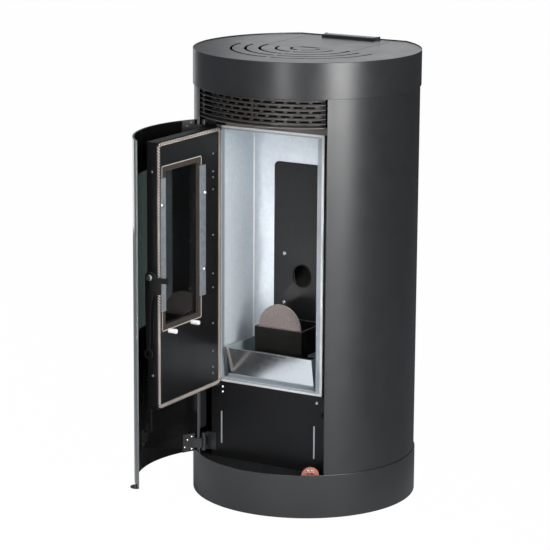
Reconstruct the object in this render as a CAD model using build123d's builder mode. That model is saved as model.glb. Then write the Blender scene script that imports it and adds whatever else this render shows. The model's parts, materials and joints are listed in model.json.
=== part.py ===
from build123d import *
import os
from math import asin, cos, degrees, radians, sin, sqrt

# Round free-standing pellet stove with a curved outer glass door and a flat inner fire door.
# Millimetres, +Z up, front = -Y. Origin: stove axis at floor level. Both doors stand open.
os.makedirs("parts", exist_ok=True)

# ---------------------------------------------------------------- driving dimensions
stove_height = 1015.0
cap_radius = 255.0  # outside of the top ring and of the plinth
cap_sheet = 2.0
slip_fit = 0.7  # radial gap between the casing and the ring or plinth round it
casing_sheet = 2.0
rear_cut = 39.5  # the flat back lies this far inside the full circle
plinth_height = 98.7
ring_height = 79.7
deck_height = 90.0  # top of the floor plate inside the plinth
deck_sheet = 2.0
base_sheet = 3.0
seat_gap = 0.3  # gap left between faces that rest on each other
right_edge_angle = 39.6  # front edge of the right casing panel
left_edge_angle = 41.0  # front edge of the left casing panel
panel_flange = 25.0  # depth of the straight return behind each front edge
hinge_window = 52.0  # height left free of the return at each outer hinge

plate_drop = 2.0  # top plate lies this far under the rim of the ring
plate_sheet = 3.0
slot_centre = -5.0  # y of the common centre of the arc slots
slot_width = 6.0
slot_spread = 88.0  # half angle covered by each arc slot
slot_bridge = 4.5  # half width of the bridge in the middle of each slot
plate_slot_radii = (168.0, 136.0)
lid_slot_radii = (68.0, 34.0)
lid_front_radius = 101.0
lid_opening_radius = 107.5
lid_side = 107.5
lid_gap = 0.8
finger_slot_length = 46.0
finger_slot_width = 9.0
hinge_bar_length = 132.0
hinge_bar_thickness = 6.0
lid_pin_radius = 2.0
bore_play = 0.05

frame_plane = -168.0  # front face of the firebox frame
frame_half_width = 139.0
frame_opening_half = 122.0
frame_bottom = 268.0
frame_top = 852.0
frame_rail = 9.0
frame_sheet = 2.0
frame_lip = 14.0
firebox_half_width = 129.0  # inside of the side walls
firebox_sheet = 2.0
firebox_back = -13.0  # inside face of the rear wall
back_plate_left = 74.0  # reach of the plate left and right of the pellet inlet
back_plate_right = 97.0
back_plate_top = 754.0
back_plate_bottom = 304.0
back_plate_sheet = 2.0
chute_height = 495.0  # centre of the pellet inlet in the rear wall
chute_radius = 24.0
chute_wall = 1.5
chute_slope = 47.0

pan_half_width = 111.0
pan_height = 70.0
runner_half = 90.0
pan_front = -166.5
pan_lean = 13.0  # the front wall leans forward by this much
pan_rear = -22.0
pan_sheet = 1.2
pan_travel = 150.0
pot_half_width = 61.0
pot_front = -122.0
pot_rear = -18.5
pot_bottom = 336.0
pot_top = 395.0
pot_wall = 4.0
arch_radius = 54.0
arch_sheet = 3.0

door_thickness = 26.0
door_width = 260.0
door_bottom = 264.0
door_top = 852.0
gasket_width = 9.0
gasket_depth = 3.6
gasket_proud = 3.4  # the rope stands this far out of its groove
door_sheet = 2.5
gasket_edge = 1.6
door_face_gap = 4.2  # closed: from the frame to the inner face of the door
inner_pin_x = -124.85
inner_pin_y = -179.15
inner_pin_radius = 3.0
window_hinge_side = 80.0
window_free_side = 18.0
window_bottom = 434.0
window_top = 799.0
window_tape = 14.0
window_recess = 12.0
glass_sheet = 4.0

outer_radius = 252.0  # outside of the curved glass door
outer_glass = 4.0
outer_bottom = 104.0
outer_top = 864.0
outer_hinge_angle = -38.0
outer_free_angle = 38.8
outer_swing = 82.5  # opening angle in the rest pose
outer_pin_x = -158.5
outer_pin_y = -183.0
outer_pin_radius = 3.0
hinge_height = 41.0

casing_radius = cap_radius - cap_sheet - slip_fit  # outside of the casing panels
plate_top = stove_height - plate_drop
ring_bottom = stove_height - ring_height
rear_flat = cap_radius - rear_cut  # distance from the axis to the flat back
inner_flat = rear_flat - cap_sheet  # inside face of the flat back
lid_pin_y = inner_flat - 4.9
lid_rear = inner_flat - 27.5


def polar(radius, angle):
    """Point at an angle from the front (-Y), positive towards +X."""
    return (radius * sin(radians(angle)), -radius * cos(radians(angle)))


def flat_backed_disc(radius, flat):
    """Disc with its back cut off flat; used inside a sketch."""
    with BuildSketch(mode=Mode.PRIVATE) as disc:
        Circle(radius)
        with Locations((0, flat + radius)):
            Rectangle(4 * radius, 2 * radius, mode=Mode.SUBTRACT)
    return disc.sketch


def arc_band(inner, outer, start, stop):
    """Part of a ring between two angles from the front; used inside a sketch."""
    middle = (start + stop) / 2
    with BuildSketch(mode=Mode.PRIVATE) as band:
        with BuildLine():
            ThreePointArc(polar(outer, start), polar(outer, middle), polar(outer, stop))
            Line(polar(outer, stop), polar(inner, stop))
            ThreePointArc(polar(inner, stop), polar(inner, middle), polar(inner, start))
            Line(polar(inner, start), polar(outer, start))
        make_face()
    return band.sketch


def save(builder, name):
    builder.part.label = name
    export_step(builder.part, f"parts/{name}.step")


# ---------------------------------------------------------------- base and casing
with BuildPart() as base_plate:
    with BuildSketch():
        add(flat_backed_disc(cap_radius - cap_sheet - seat_gap, inner_flat - seat_gap))
    extrude(amount=base_sheet)
    with BuildSketch(Plane.XY.offset(base_sheet)):
        add(flat_backed_disc(cap_radius - cap_sheet - seat_gap, inner_flat - seat_gap))
        add(flat_backed_disc(cap_radius - cap_sheet - 14.0, inner_flat - 14.0), mode=Mode.SUBTRACT)
    extrude(amount=deck_height - deck_sheet - base_sheet - seat_gap)
    with BuildSketch(Plane.XY.offset(base_sheet)):
        add(flat_backed_disc(cap_radius - cap_sheet - 2.5, inner_flat - 2.5))
    extrude(amount=deck_height - deck_sheet - base_sheet - seat_gap - 2.0, mode=Mode.SUBTRACT)
save(base_plate, "base_plate")

with BuildPart() as plinth_ring:
    with BuildSketch():
        add(flat_backed_disc(cap_radius, rear_flat))
        add(flat_backed_disc(cap_radius - cap_sheet, inner_flat), mode=Mode.SUBTRACT)
    extrude(amount=plinth_height)
save(plinth_ring, "plinth_ring")

with BuildPart() as deck_plate:
    with BuildSketch(Plane.XY.offset(deck_height - deck_sheet)):
        add(flat_backed_disc(cap_radius - cap_sheet - seat_gap, inner_flat - seat_gap))
    extrude(amount=deck_sheet)
save(deck_plate, "deck_plate")

panel_bottom = deck_height + seat_gap
panel_top = plate_top - plate_sheet - seat_gap
rear_half = sqrt(casing_radius**2 - (inner_flat - seat_gap) ** 2)
rear_return = 26.0
hinge_low = outer_bottom
hinge_high = outer_top - hinge_height


def casing_panel(side, edge_angle):
    """Curved side panel with a straight return at its front edge and a folded rear edge."""
    inner = casing_radius - casing_sheet
    flat = inner_flat - seat_gap
    edge_x, edge_y = polar(inner, edge_angle)
    with BuildPart() as panel:
        with BuildSketch(Plane.XY.offset(panel_bottom)):
            add(flat_backed_disc(casing_radius, flat))
            add(flat_backed_disc(inner, flat - casing_sheet), mode=Mode.SUBTRACT)
            with BuildLine():
                Polyline((rear_half - rear_return, 300), (rear_half - rear_return, 0), (0, 0),
                         polar(500, edge_angle), (-600, -500), (-600, 300), close=True)
            make_face(mode=Mode.SUBTRACT)
        extrude(amount=panel_top - panel_bottom)
        with BuildSketch(Plane.XY.offset(hinge_low + hinge_window)):
            with Locations((edge_x - casing_sheet / 2 + 0.6, edge_y + panel_flange / 2)):
                Rectangle(casing_sheet, panel_flange)
        extrude(amount=hinge_high - hinge_low - hinge_window - 10)
        if side < 0:
            mirror(about=Plane.YZ, mode=Mode.REPLACE)
    return panel


right_side_panel = casing_panel(1, right_edge_angle)
save(right_side_panel, "right_side_panel")
left_side_panel = casing_panel(-1, left_edge_angle)
save(left_side_panel, "left_side_panel")

# ---------------------------------------------------------------- rear panel
flue_x = 62.0
flue_z = 198.0
flue_radius = 40.0
intake_x = 66.0
intake_z = 322.0
intake_radius = 25.0
inlet_x = -90.0
inlet_z = 128.0
inlet_width = 28.0
inlet_height = 22.0
switch_z = 162.0
switch_width = 28.0
switch_height = 21.0
cut_play = 0.5
vent_pitch = 16.0
vent_rows = 12
rear_face = inner_flat - seat_gap - casing_sheet - seat_gap  # outer face of the rear panel
pipe_step = 1.0  # the pipes are this much wider inside the stove

with BuildPart() as rear_panel:
    with BuildSketch(Plane.XZ.offset(-rear_face)):
        with Locations((0, (plinth_height + ring_bottom) / 2)):
            Rectangle(2 * (rear_half - 5), ring_bottom - plinth_height + 12)
        with Locations((flue_x, flue_z)):
            Rectangle(2 * flue_radius + 3, 2 * flue_radius + 3, mode=Mode.SUBTRACT)
        with Locations((intake_x, intake_z)):
            Rectangle(2 * intake_radius + 3, 2 * intake_radius + 3, mode=Mode.SUBTRACT)
        with Locations((inlet_x, inlet_z)):
            Rectangle(inlet_width + 2 * cut_play, inlet_height + 2 * cut_play, mode=Mode.SUBTRACT)
        with Locations((inlet_x, switch_z)):
            Rectangle(switch_width + 2 * cut_play, switch_height + 2 * cut_play, mode=Mode.SUBTRACT)
        for bank_z in (500.0, 800.0):
            with Locations((0, bank_z)):
                with GridLocations(rear_half * 0.63, vent_pitch, 2, vent_rows):
                    Rectangle(rear_half * 0.49, 5, mode=Mode.SUBTRACT)
    extrude(amount=casing_sheet)
save(rear_panel, "rear_panel")

# ---------------------------------------------------------------- top ring, plate and lid
with BuildPart() as top_ring:
    with BuildSketch(Plane.XY.offset(ring_bottom)):
        add(flat_backed_disc(cap_radius, rear_flat))
        add(flat_backed_disc(cap_radius - cap_sheet, inner_flat), mode=Mode.SUBTRACT)
    extrude(amount=ring_height)
save(top_ring, "top_ring")


def arc_slots(radii, level):
    """Arc slots round the common centre, each with a bridge in the middle."""
    with BuildSketch(Plane(origin=(0, slot_centre, level))) as slots:
        for radius in radii:
            inner = radius - slot_width / 2
            outer = radius + slot_width / 2
            bridge = degrees(asin(slot_bridge / radius))
            add(arc_band(inner, outer, -slot_spread, -bridge))
            add(arc_band(inner, outer, bridge, slot_spread))
    return slots.sketch


with BuildPart() as top_plate:
    with BuildSketch(Plane.XY.offset(plate_top - plate_sheet)):
        add(flat_backed_disc(cap_radius - cap_sheet - seat_gap, inner_flat - seat_gap))
        with Locations((0, slot_centre)):
            Circle(lid_opening_radius, mode=Mode.SUBTRACT)
        with Locations((0, (lid_rear + lid_gap + slot_centre) / 2)):
            Rectangle(2 * (lid_side + lid_gap), lid_rear + lid_gap - slot_centre, mode=Mode.SUBTRACT)
    extrude(amount=plate_sheet)
    extrude(arc_slots(plate_slot_radii, plate_top), amount=-plate_sheet, mode=Mode.SUBTRACT)
save(top_plate, "top_plate")

bar_bottom = plate_top + seat_gap
lid_pin_z = bar_bottom + hinge_bar_thickness / 2

with BuildPart() as hopper_lid:
    with BuildSketch(Plane.XY.offset(plate_top - plate_sheet)):
        with Locations((0, slot_centre)):
            Circle(lid_front_radius)
        with Locations((0, (lid_rear + 4) / 2)):
            Rectangle(2 * lid_side, lid_rear - 4)
        with Locations((0, slot_centre - lid_opening_radius / 2 + lid_gap / 2)):
            Rectangle(9, lid_opening_radius - lid_gap)
        with Locations((0, 10)):
            SlotOverall(finger_slot_length, finger_slot_width, mode=Mode.SUBTRACT)
    extrude(amount=plate_sheet)
    extrude(arc_slots(lid_slot_radii, plate_top), amount=-plate_sheet, mode=Mode.SUBTRACT)
save(hopper_lid, "hopper_lid")

bar_front = lid_rear - 3.0
with BuildPart() as lid_hinge_bar:
    with BuildSketch(Plane.YZ.offset(-hinge_bar_length / 2)):
        with BuildLine():
            Line((lid_pin_y, bar_bottom), (bar_front, bar_bottom))
            Line((bar_front, bar_bottom), (bar_front, bar_bottom + hinge_bar_thickness - 1.5))
            Line((bar_front, bar_bottom + hinge_bar_thickness - 1.5),
                 (bar_front + 3, bar_bottom + hinge_bar_thickness))
            Line((bar_front + 3, bar_bottom + hinge_bar_thickness),
                 (lid_pin_y, bar_bottom + hinge_bar_thickness))
            ThreePointArc((lid_pin_y, bar_bottom + hinge_bar_thickness),
                          (lid_pin_y + hinge_bar_thickness / 2, lid_pin_z), (lid_pin_y, bar_bottom))
        make_face()
        with Locations((lid_pin_y, lid_pin_z)):
            Circle(lid_pin_radius + bore_play, mode=Mode.SUBTRACT)
    extrude(amount=hinge_bar_length)
    with BuildSketch(Plane.XY.offset(plate_top)):
        with Locations((0, (bar_front + lid_rear) / 2)):
            Rectangle(hinge_bar_length - 20, lid_rear - bar_front)
    extrude(amount=seat_gap)
save(lid_hinge_bar, "lid_hinge_bar")

lug_width = 4.0
lug_offset = hinge_bar_length / 2 + seat_gap + lug_width / 2
with BuildPart() as lid_hinge_pin:
    for side in (-1, 1):
        with BuildSketch(Plane.YZ.offset(side * lug_offset - lug_width / 2)):
            with Locations(((lid_pin_y + inner_flat) / 2 - 2.5, plate_top + 3.4)):
                Rectangle(inner_flat - lid_pin_y + 4.4, 6.8)
        extrude(amount=lug_width)
    with BuildSketch(Plane.YZ.offset(-lug_offset)):
        with Locations((lid_pin_y, lid_pin_z)):
            Circle(lid_pin_radius)
    extrude(amount=2 * lug_offset)
save(lid_hinge_pin, "lid_hinge_pin")

# ---------------------------------------------------------------- hopper, auger, chute
hopper_half = 98.0
hopper_front = 0.0
hopper_back = lid_rear - 4.0
hopper_sheet = 1.5
seal_height = 3.4
hopper_rim = plate_top - plate_sheet - seat_gap - seal_height - seat_gap
hopper_shoulder = 800.0  # level of the joint between the hopper and the funnel
joint_flange = 8.0
auger_z = 600.0
auger_tube_radius = 30.0
auger_tube_wall = 2.5
auger_front = 26.0
auger_back = hopper_back - 32.0
outlet_y = auger_back - 32.0
outlet_half = 22.0
hopper_floor = auger_z + auger_tube_radius + seat_gap

with BuildPart() as lid_seal:
    with BuildSketch(Plane.XY.offset(hopper_rim + seat_gap)):
        with Locations((0, (hopper_front + hopper_back) / 2)):
            Rectangle(2 * hopper_half + 26, hopper_back - hopper_front + 22)
            Rectangle(2 * hopper_half + 2, hopper_back - hopper_front - 6, mode=Mode.SUBTRACT)
    extrude(amount=seal_height)
save(lid_seal, "lid_seal")


def hopper_outline(level, inset):
    """Rectangular mouth of the hopper at one level, smaller by an inset all round."""
    with BuildSketch(Plane.XY.offset(level)) as outline:
        with Locations((0, (hopper_front + hopper_back) / 2)):
            Rectangle(2 * (hopper_half - inset), hopper_back - hopper_front - 2 * inset)
    return outline.sketch


def hopper_outlet(level, inset):
    with BuildSketch(Plane.XY.offset(level)) as outline:
        with Locations((0, outlet_y)):
            Rectangle(2 * (outlet_half - inset), 2 * (outlet_half - inset))
    return outline.sketch


with BuildPart() as hopper:
    with BuildSketch(Plane.XY.offset(hopper_rim - hopper_sheet)):
        with Locations((0, (hopper_front + hopper_back) / 2)):
            Rectangle(2 * hopper_half + 28, hopper_back - hopper_front + 24)
    extrude(amount=hopper_sheet)
    extrude(hopper_outline(hopper_shoulder + seat_gap, 0),
            amount=hopper_rim - hopper_shoulder - seat_gap)
    extrude(hopper_outline(hopper_shoulder + seat_gap, -joint_flange), amount=hopper_sheet)
    extrude(hopper_outline(hopper_shoulder, hopper_sheet),
            amount=hopper_rim - hopper_shoulder + 5, mode=Mode.SUBTRACT)
save(hopper, "hopper")

with BuildPart() as feed_funnel:
    extrude(hopper_outline(hopper_shoulder - hopper_sheet, -joint_flange), amount=hopper_sheet)
    loft(sections=[hopper_outlet(hopper_floor + 20, 0), hopper_outline(hopper_shoulder, 0)], ruled=True)
    extrude(hopper_outlet(hopper_floor, 0), amount=20)
    loft(sections=[hopper_outlet(hopper_floor + 20, hopper_sheet),
                   hopper_outline(hopper_shoulder, hopper_sheet)], ruled=True, mode=Mode.SUBTRACT)
    extrude(hopper_outlet(hopper_floor - 1, hopper_sheet), amount=22, mode=Mode.SUBTRACT)
save(feed_funnel, "feed_funnel")

auger_plane = Plane(origin=(0, auger_front, auger_z), x_dir=(1, 0, 0), z_dir=(0, 1, 0))
auger_length = auger_back - auger_front
tube_end = 3.0
shaft_radius = 6.0
chute_drop_y = 48.0
with BuildPart() as auger_tube:
    with BuildSketch(auger_plane):
        Circle(auger_tube_radius)
    extrude(amount=auger_length)
    with BuildSketch(auger_plane.offset(tube_end)):
        Circle(auger_tube_radius - auger_tube_wall)
    extrude(amount=auger_length - 2 * tube_end, mode=Mode.SUBTRACT)
    with BuildSketch(auger_plane.offset(-1)):
        Circle(shaft_radius + bore_play)
    extrude(amount=auger_length + 2, mode=Mode.SUBTRACT)
    with BuildSketch(Plane.XY.offset(auger_z)):
        with Locations((0, outlet_y)):
            Rectangle(2 * outlet_half - 8, 2 * outlet_half - 4)
    extrude(amount=60, mode=Mode.SUBTRACT)
    with BuildSketch(Plane.XY.offset(auger_z - 60)):
        with Locations((0, chute_drop_y)):
            Rectangle(36, 30)
    extrude(amount=60, mode=Mode.SUBTRACT)
save(auger_tube, "auger_tube")

flight_radius = auger_tube_radius - auger_tube_wall - 1.5
flight_pitch = 36.0
flight_length = auger_length - 2 * tube_end - 8
with BuildPart() as screw_blank:
    with BuildSketch(Plane.XY.offset(-6)):
        Circle(shaft_radius)
    extrude(amount=auger_length + 16)
    with BuildLine() as spine:
        Helix(pitch=flight_pitch, height=flight_length, radius=(flight_radius + shaft_radius) / 2,
              center=(0, 0, tube_end + 4))
    with BuildSketch(Plane(origin=spine.line @ 0, x_dir=(1, 0, 0), z_dir=spine.line % 0)):
        Rectangle(flight_radius - shaft_radius + 1.0, 2.2)
    sweep(path=spine.line, is_frenet=True)
auger_screw = BuildPart()
with auger_screw:
    add(auger_plane.location * screw_blank.part)
save(auger_screw, "auger_screw")

motor_front = auger_back + seat_gap
with BuildPart() as auger_gearmotor:
    with BuildSketch(auger_plane.offset(motor_front - auger_front)):
        with Locations((0, -14)):
            RectangleRounded(62, 86, 8)
        Circle(shaft_radius + bore_play, mode=Mode.SUBTRACT)
    extrude(amount=30)
    with BuildSketch(auger_plane.offset(motor_front - auger_front + 30)):
        with Locations((0, -30)):
            Circle(24)
    extrude(amount=26)
    chamfer(auger_gearmotor.edges().group_by(Axis.Y)[-1], 3)
save(auger_gearmotor, "auger_gearmotor")

chute_plane = Plane(
    origin=(0, firebox_back, chute_height), x_dir=(1, 0, 0),
    z_dir=(0, cos(radians(chute_slope)), sin(radians(chute_slope))),
)
chute_start = firebox_back + firebox_sheet + seat_gap
with BuildPart() as chute:
    with BuildSketch(chute_plane.offset(-60)):
        Circle(chute_radius)
    extrude(amount=240)
    with BuildSketch(chute_plane.offset(-60)):
        Circle(chute_radius - chute_wall)
    extrude(amount=240, mode=Mode.SUBTRACT)
    split(bisect_by=Plane(origin=(0, chute_start, 0), z_dir=(0, 1, 0)), keep=Keep.TOP)
    split(bisect_by=Plane(origin=(0, 0, auger_z), z_dir=(0, 0, 1)), keep=Keep.BOTTOM)
    with BuildSketch(auger_plane.offset(-60)):
        Circle(auger_tube_radius + seat_gap)
    extrude(amount=auger_length + 120, mode=Mode.SUBTRACT)
save(chute, "chute")

# ---------------------------------------------------------------- firebox
firebox_bottom = frame_bottom + 2.0
firebox_roof = frame_top - 2.0
firebox_outer = firebox_half_width + firebox_sheet
firebox_front = frame_plane + frame_sheet + seat_gap
firebox_rear = firebox_back + firebox_sheet
pan_floor = frame_bottom + frame_rail + seat_gap
duct_x = -52.0
duct_half = 36.0
duct_front_z = 400.0
igniter_z = 360.0
igniter_radius = 5.0
strike_y = -149.0  # pin beside the firebox that holds the latch hook
strike_z = 570.8
strike_radius = 3.0
strike_length = 17.0

with BuildPart() as firebox:
    with BuildSketch(Plane.XY.offset(firebox_bottom)):
        with Locations((0, (firebox_front + firebox_rear) / 2)):
            Rectangle(2 * firebox_outer, firebox_rear - firebox_front)
    extrude(amount=firebox_roof - firebox_bottom)
    with BuildSketch(Plane.XY.offset(firebox_bottom + firebox_sheet)):
        with Locations((0, (firebox_front + firebox_back) / 2 - 10)):
            Rectangle(2 * firebox_half_width, firebox_back - firebox_front + 20)
    extrude(amount=firebox_roof - firebox_bottom - 2 * firebox_sheet, mode=Mode.SUBTRACT)
    with BuildSketch(Plane.XY.offset(firebox_bottom + firebox_sheet)):
        with Locations((0, (pan_front + pan_rear) / 2 + 10)):
            with GridLocations(2 * runner_half, 1, 2, 1):
                Rectangle(12, pan_rear - pan_front - 24)
    extrude(amount=pan_floor - seat_gap - firebox_bottom - firebox_sheet)
    with BuildSketch(chute_plane.offset(-60)):
        Circle(chute_radius - chute_wall)
    extrude(amount=120, mode=Mode.SUBTRACT)
    with BuildSketch(Plane.XZ.offset(-firebox_rear - 5)):
        with Locations((0, igniter_z)):
            Circle(igniter_radius + 0.6)
        with Locations((duct_x, duct_front_z)):
            Rectangle(50, 30)
        with Locations((intake_x, intake_z)):
            Circle(intake_radius - 2)
    extrude(amount=20, mode=Mode.SUBTRACT)
    with BuildSketch(Plane.YZ.offset(firebox_outer)):
        with Locations((strike_y, strike_z)):
            Circle(strike_radius)
    extrude(amount=strike_length)
save(firebox, "firebox")

stand_half = 118.0
stand_width = 20.0
stand_depth = 42.0
with BuildPart() as firebox_stand:
    with BuildSketch(Plane(origin=(0, (firebox_front + firebox_rear) / 2, panel_bottom))):
        with GridLocations(2 * stand_half, firebox_rear - firebox_front - stand_depth, 2, 2):
            Rectangle(stand_width, stand_depth)
            Rectangle(stand_width - 3, stand_depth - 3, mode=Mode.SUBTRACT)
    extrude(amount=firebox_bottom - seat_gap - panel_bottom)
save(firebox_stand, "firebox_stand")

with BuildPart() as firebox_frame:
    with BuildSketch(Plane.XZ.offset(-frame_plane - frame_sheet)):
        with Locations((0, (frame_bottom + frame_top) / 2)):
            Rectangle(2 * frame_half_width, frame_top - frame_bottom)
            Rectangle(2 * frame_opening_half, frame_top - frame_bottom - 2 * frame_rail,
                      mode=Mode.SUBTRACT)
    extrude(amount=frame_sheet)
    with BuildSketch(Plane.XZ.offset(-frame_plane - frame_sheet)):
        with Locations((0, (frame_bottom + frame_top) / 2)):
            Rectangle(2 * frame_opening_half + 4, frame_top - frame_bottom - 2 * frame_rail + 4)
            Rectangle(2 * frame_opening_half, frame_top - frame_bottom - 2 * frame_rail,
                      mode=Mode.SUBTRACT)
    extrude(amount=-frame_lip)
save(firebox_frame, "firebox_frame")

with BuildPart() as back_plate:
    with BuildSketch(Plane.XZ.offset(-firebox_back + seat_gap)):
        with Locations(((back_plate_right - back_plate_left) / 2, (back_plate_top + back_plate_bottom) / 2)):
            RectangleRounded(back_plate_left + back_plate_right, back_plate_top - back_plate_bottom, 12)
        with Locations((0, igniter_z)):
            Circle(igniter_radius + 0.6, mode=Mode.SUBTRACT)
        with Locations((duct_x, duct_front_z)):
            Rectangle(44, 26, mode=Mode.SUBTRACT)
        with Locations((intake_x, intake_z)):
            Circle(intake_radius - 4, mode=Mode.SUBTRACT)
    extrude(amount=back_plate_sheet)
    with BuildSketch(chute_plane.offset(-80)):
        Circle(chute_radius - chute_wall)
    extrude(amount=140, mode=Mode.SUBTRACT)
save(back_plate, "back_plate")

plate_face = firebox_back - seat_gap - back_plate_sheet
plate_screw_z = (543.0, 429.0)

baffle_z = 830.0
baffle_sheet = 4.0
baffle_front = -118.0
with BuildPart() as baffle:
    with BuildSketch(Plane.YZ.offset(-firebox_half_width + seat_gap)):
        with BuildLine():
            Polyline((firebox_back - seat_gap, baffle_z), (firebox_back - seat_gap, baffle_z + baffle_sheet),
                     (baffle_front, baffle_z + baffle_sheet + 4), (baffle_front, baffle_z + 4), close=True)
        make_face()
    extrude(amount=2 * (firebox_half_width - seat_gap))
save(baffle, "baffle")

shelf_depth = 70.0
with BuildPart() as pot_shelf:
    with BuildSketch(Plane.XY.offset(pot_bottom - seat_gap - 2)):
        with Locations((0, plate_face - seat_gap - shelf_depth / 2)):
            Rectangle(2 * pot_half_width - 6, shelf_depth)
            Rectangle(50, 40, mode=Mode.SUBTRACT)
    extrude(amount=2)
    with BuildSketch(Plane.YZ.offset(-pot_half_width + 3)):
        with BuildLine():
            Polyline((plate_face - seat_gap, pot_bottom - seat_gap - 2),
                     (plate_face - seat_gap, pot_bottom - 26),
                     (plate_face - seat_gap - 2, pot_bottom - 26),
                     (plate_face - seat_gap - shelf_depth, pot_bottom - seat_gap - 6),
                     (plate_face - seat_gap - shelf_depth, pot_bottom - seat_gap - 2), close=True)
        make_face()
    extrude(amount=2)
    mirror(about=Plane.YZ)
save(pot_shelf, "pot_shelf")

pot_depth = pot_rear - pot_front
pot_middle = (pot_rear + pot_front) / 2
with BuildPart() as burn_pot:
    with BuildSketch(Plane.XY.offset(pot_bottom)):
        with Locations((0, pot_middle)):
            Rectangle(2 * pot_half_width, pot_depth)
    extrude(amount=pot_top - pot_bottom)
    with BuildSketch(Plane.XY.offset(pot_bottom + 22)):
        with Locations((0, pot_middle)):
            Rectangle(2 * pot_half_width - 24, pot_depth - 34)
    with BuildSketch(Plane.XY.offset(pot_top)):
        with Locations((0, pot_middle)):
            Rectangle(2 * (pot_half_width - pot_wall), pot_depth - 2 * pot_wall)
    loft(mode=Mode.SUBTRACT)
    with BuildSketch(Plane.XY.offset(pot_bottom)):
        with Locations((0, pot_middle)):
            with GridLocations(15, 14, 5, 4):
                Circle(2.5)
    extrude(amount=30, mode=Mode.SUBTRACT)
    with BuildSketch(Plane.XZ.offset(-pot_rear - 5)):
        with Locations((0, igniter_z)):
            Circle(igniter_radius + 1)
    extrude(amount=30, mode=Mode.SUBTRACT)
save(burn_pot, "burn_pot")

arch_y = pot_front + pot_wall + 2.6
arch_base = pot_top - 7.0
with BuildPart() as burn_pot_plate:
    with BuildSketch(Plane.XZ.offset(-arch_y - arch_sheet)):
        with BuildLine():
            ThreePointArc((arch_radius, pot_top), (0, pot_top + arch_radius), (-arch_radius, pot_top))
            Polyline((-arch_radius, pot_top), (-arch_radius, arch_base), (arch_radius, arch_base),
                     (arch_radius, pot_top))
        make_face()
    extrude(amount=arch_sheet)
save(burn_pot_plate, "burn_pot_plate")

pan_top = pan_floor + pan_height
pan_back_top = pot_bottom - 34.0
with BuildPart() as ash_pan:
    with BuildSketch(Plane.YZ.offset(-pan_half_width)):
        with BuildLine():
            Polyline((pan_front + pan_lean, pan_floor), (pan_front, pan_top), (pan_rear, pan_top),
                     (pan_rear, pan_floor), close=True)
        make_face()
    extrude(amount=2 * pan_half_width)
    with BuildSketch(Plane.YZ.offset(-pan_half_width + pan_sheet)):
        with BuildLine():
            Polyline((pan_front + pan_lean + pan_sheet, pan_floor + pan_sheet),
                     (pan_front + pan_sheet, pan_top + 1), (pan_rear - pan_sheet, pan_top + 1),
                     (pan_rear - pan_sheet, pan_floor + pan_sheet), close=True)
        make_face()
    extrude(amount=2 * (pan_half_width - pan_sheet), mode=Mode.SUBTRACT)
    with BuildSketch(Plane.XZ.offset(-pan_rear - 5)):
        with Locations((0, pan_back_top + 60)):
            Rectangle(2 * pot_half_width + 20, 120)
    extrude(amount=10, mode=Mode.SUBTRACT)
save(ash_pan, "ash_pan")

with BuildPart() as igniter:
    with BuildSketch(Plane.XZ.offset(-pot_rear - 1.5)):
        with Locations((0, igniter_z)):
            Circle(igniter_radius)
    extrude(amount=-90)
    with BuildSketch(Plane.XZ.offset(-firebox_rear - seat_gap)):
        with Locations((0, igniter_z)):
            Rectangle(26, 26)
    extrude(amount=-3)
save(igniter, "igniter")

# ---------------------------------------------------------------- air grille and front panels
louvre_count = 6
louvre_first = 881.0
louvre_pitch = 10.2
louvre_sheet = 2.2
louvre_outer = casing_radius - casing_sheet - seat_gap
louvre_depth = 12.0
louvre_end = 44.0
with BuildPart() as air_grille:
    for row in range(louvre_count):
        with BuildSketch(Plane.XY.offset(louvre_first + row * louvre_pitch)):
            add(arc_band(louvre_outer - louvre_depth, louvre_outer, -louvre_end, louvre_end))
        extrude(amount=louvre_sheet)
    for post_angle in (-louvre_end + 1, 0, louvre_end - 1):
        with BuildSketch(Plane.XY.offset(louvre_first)):
            add(arc_band(louvre_outer - louvre_depth, louvre_outer - louvre_depth + 3,
                         post_angle - 0.5, post_angle + 0.5))
        extrude(amount=(louvre_count - 1) * louvre_pitch + louvre_sheet)
save(air_grille, "air_grille")

tray_z = 872.0
grille_back_radius = louvre_outer - louvre_depth - 15.0
grille_rows = 5
grille_row_pitch = 12.0
with BuildPart() as grille_back:
    with BuildSketch(Plane.XY.offset(tray_z)):
        add(arc_band(170, louvre_outer, -louvre_end, louvre_end))
        with Locations((0, frame_plane + 200)):
            Rectangle(500, 400, mode=Mode.SUBTRACT)
    extrude(amount=2)
    with BuildSketch(Plane.XY.offset(frame_top + seat_gap)):
        with Locations((0, frame_plane + 1)):
            Rectangle(300, 2)
    extrude(amount=tray_z + 2 - frame_top - seat_gap)
    with BuildSketch(Plane.XY.offset(tray_z)):
        add(arc_band(grille_back_radius - 1, grille_back_radius + 1, -40, 40))
    extrude(amount=70)
    for row in range(grille_rows):
        for column in range(11):
            angle = -35 + column * 7 - (3.5 if row % 2 else 0)
            x, y = polar(grille_back_radius, angle)
            with Locations(Location((x, y, louvre_first + 5 + row * grille_row_pitch), (0, 0, angle))):
                Box(20, 12, 5, mode=Mode.SUBTRACT)
save(grille_back, "grille_back")

lower_half = 146.0
lower_top = frame_bottom - seat_gap
with BuildPart() as lower_front_panel:
    with BuildSketch(Plane.XZ.offset(-frame_plane - 2)):
        with Locations((0, (panel_bottom + lower_top) / 2)):
            Rectangle(2 * lower_half, lower_top - panel_bottom)
        with Locations((-120, 160), (120, 160)):
            Rectangle(4.5, 76, mode=Mode.SUBTRACT)
        with Locations((lower_half, 226)):
            Circle(7, mode=Mode.SUBTRACT)
    extrude(amount=2)
save(lower_front_panel, "lower_front_panel")

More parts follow.
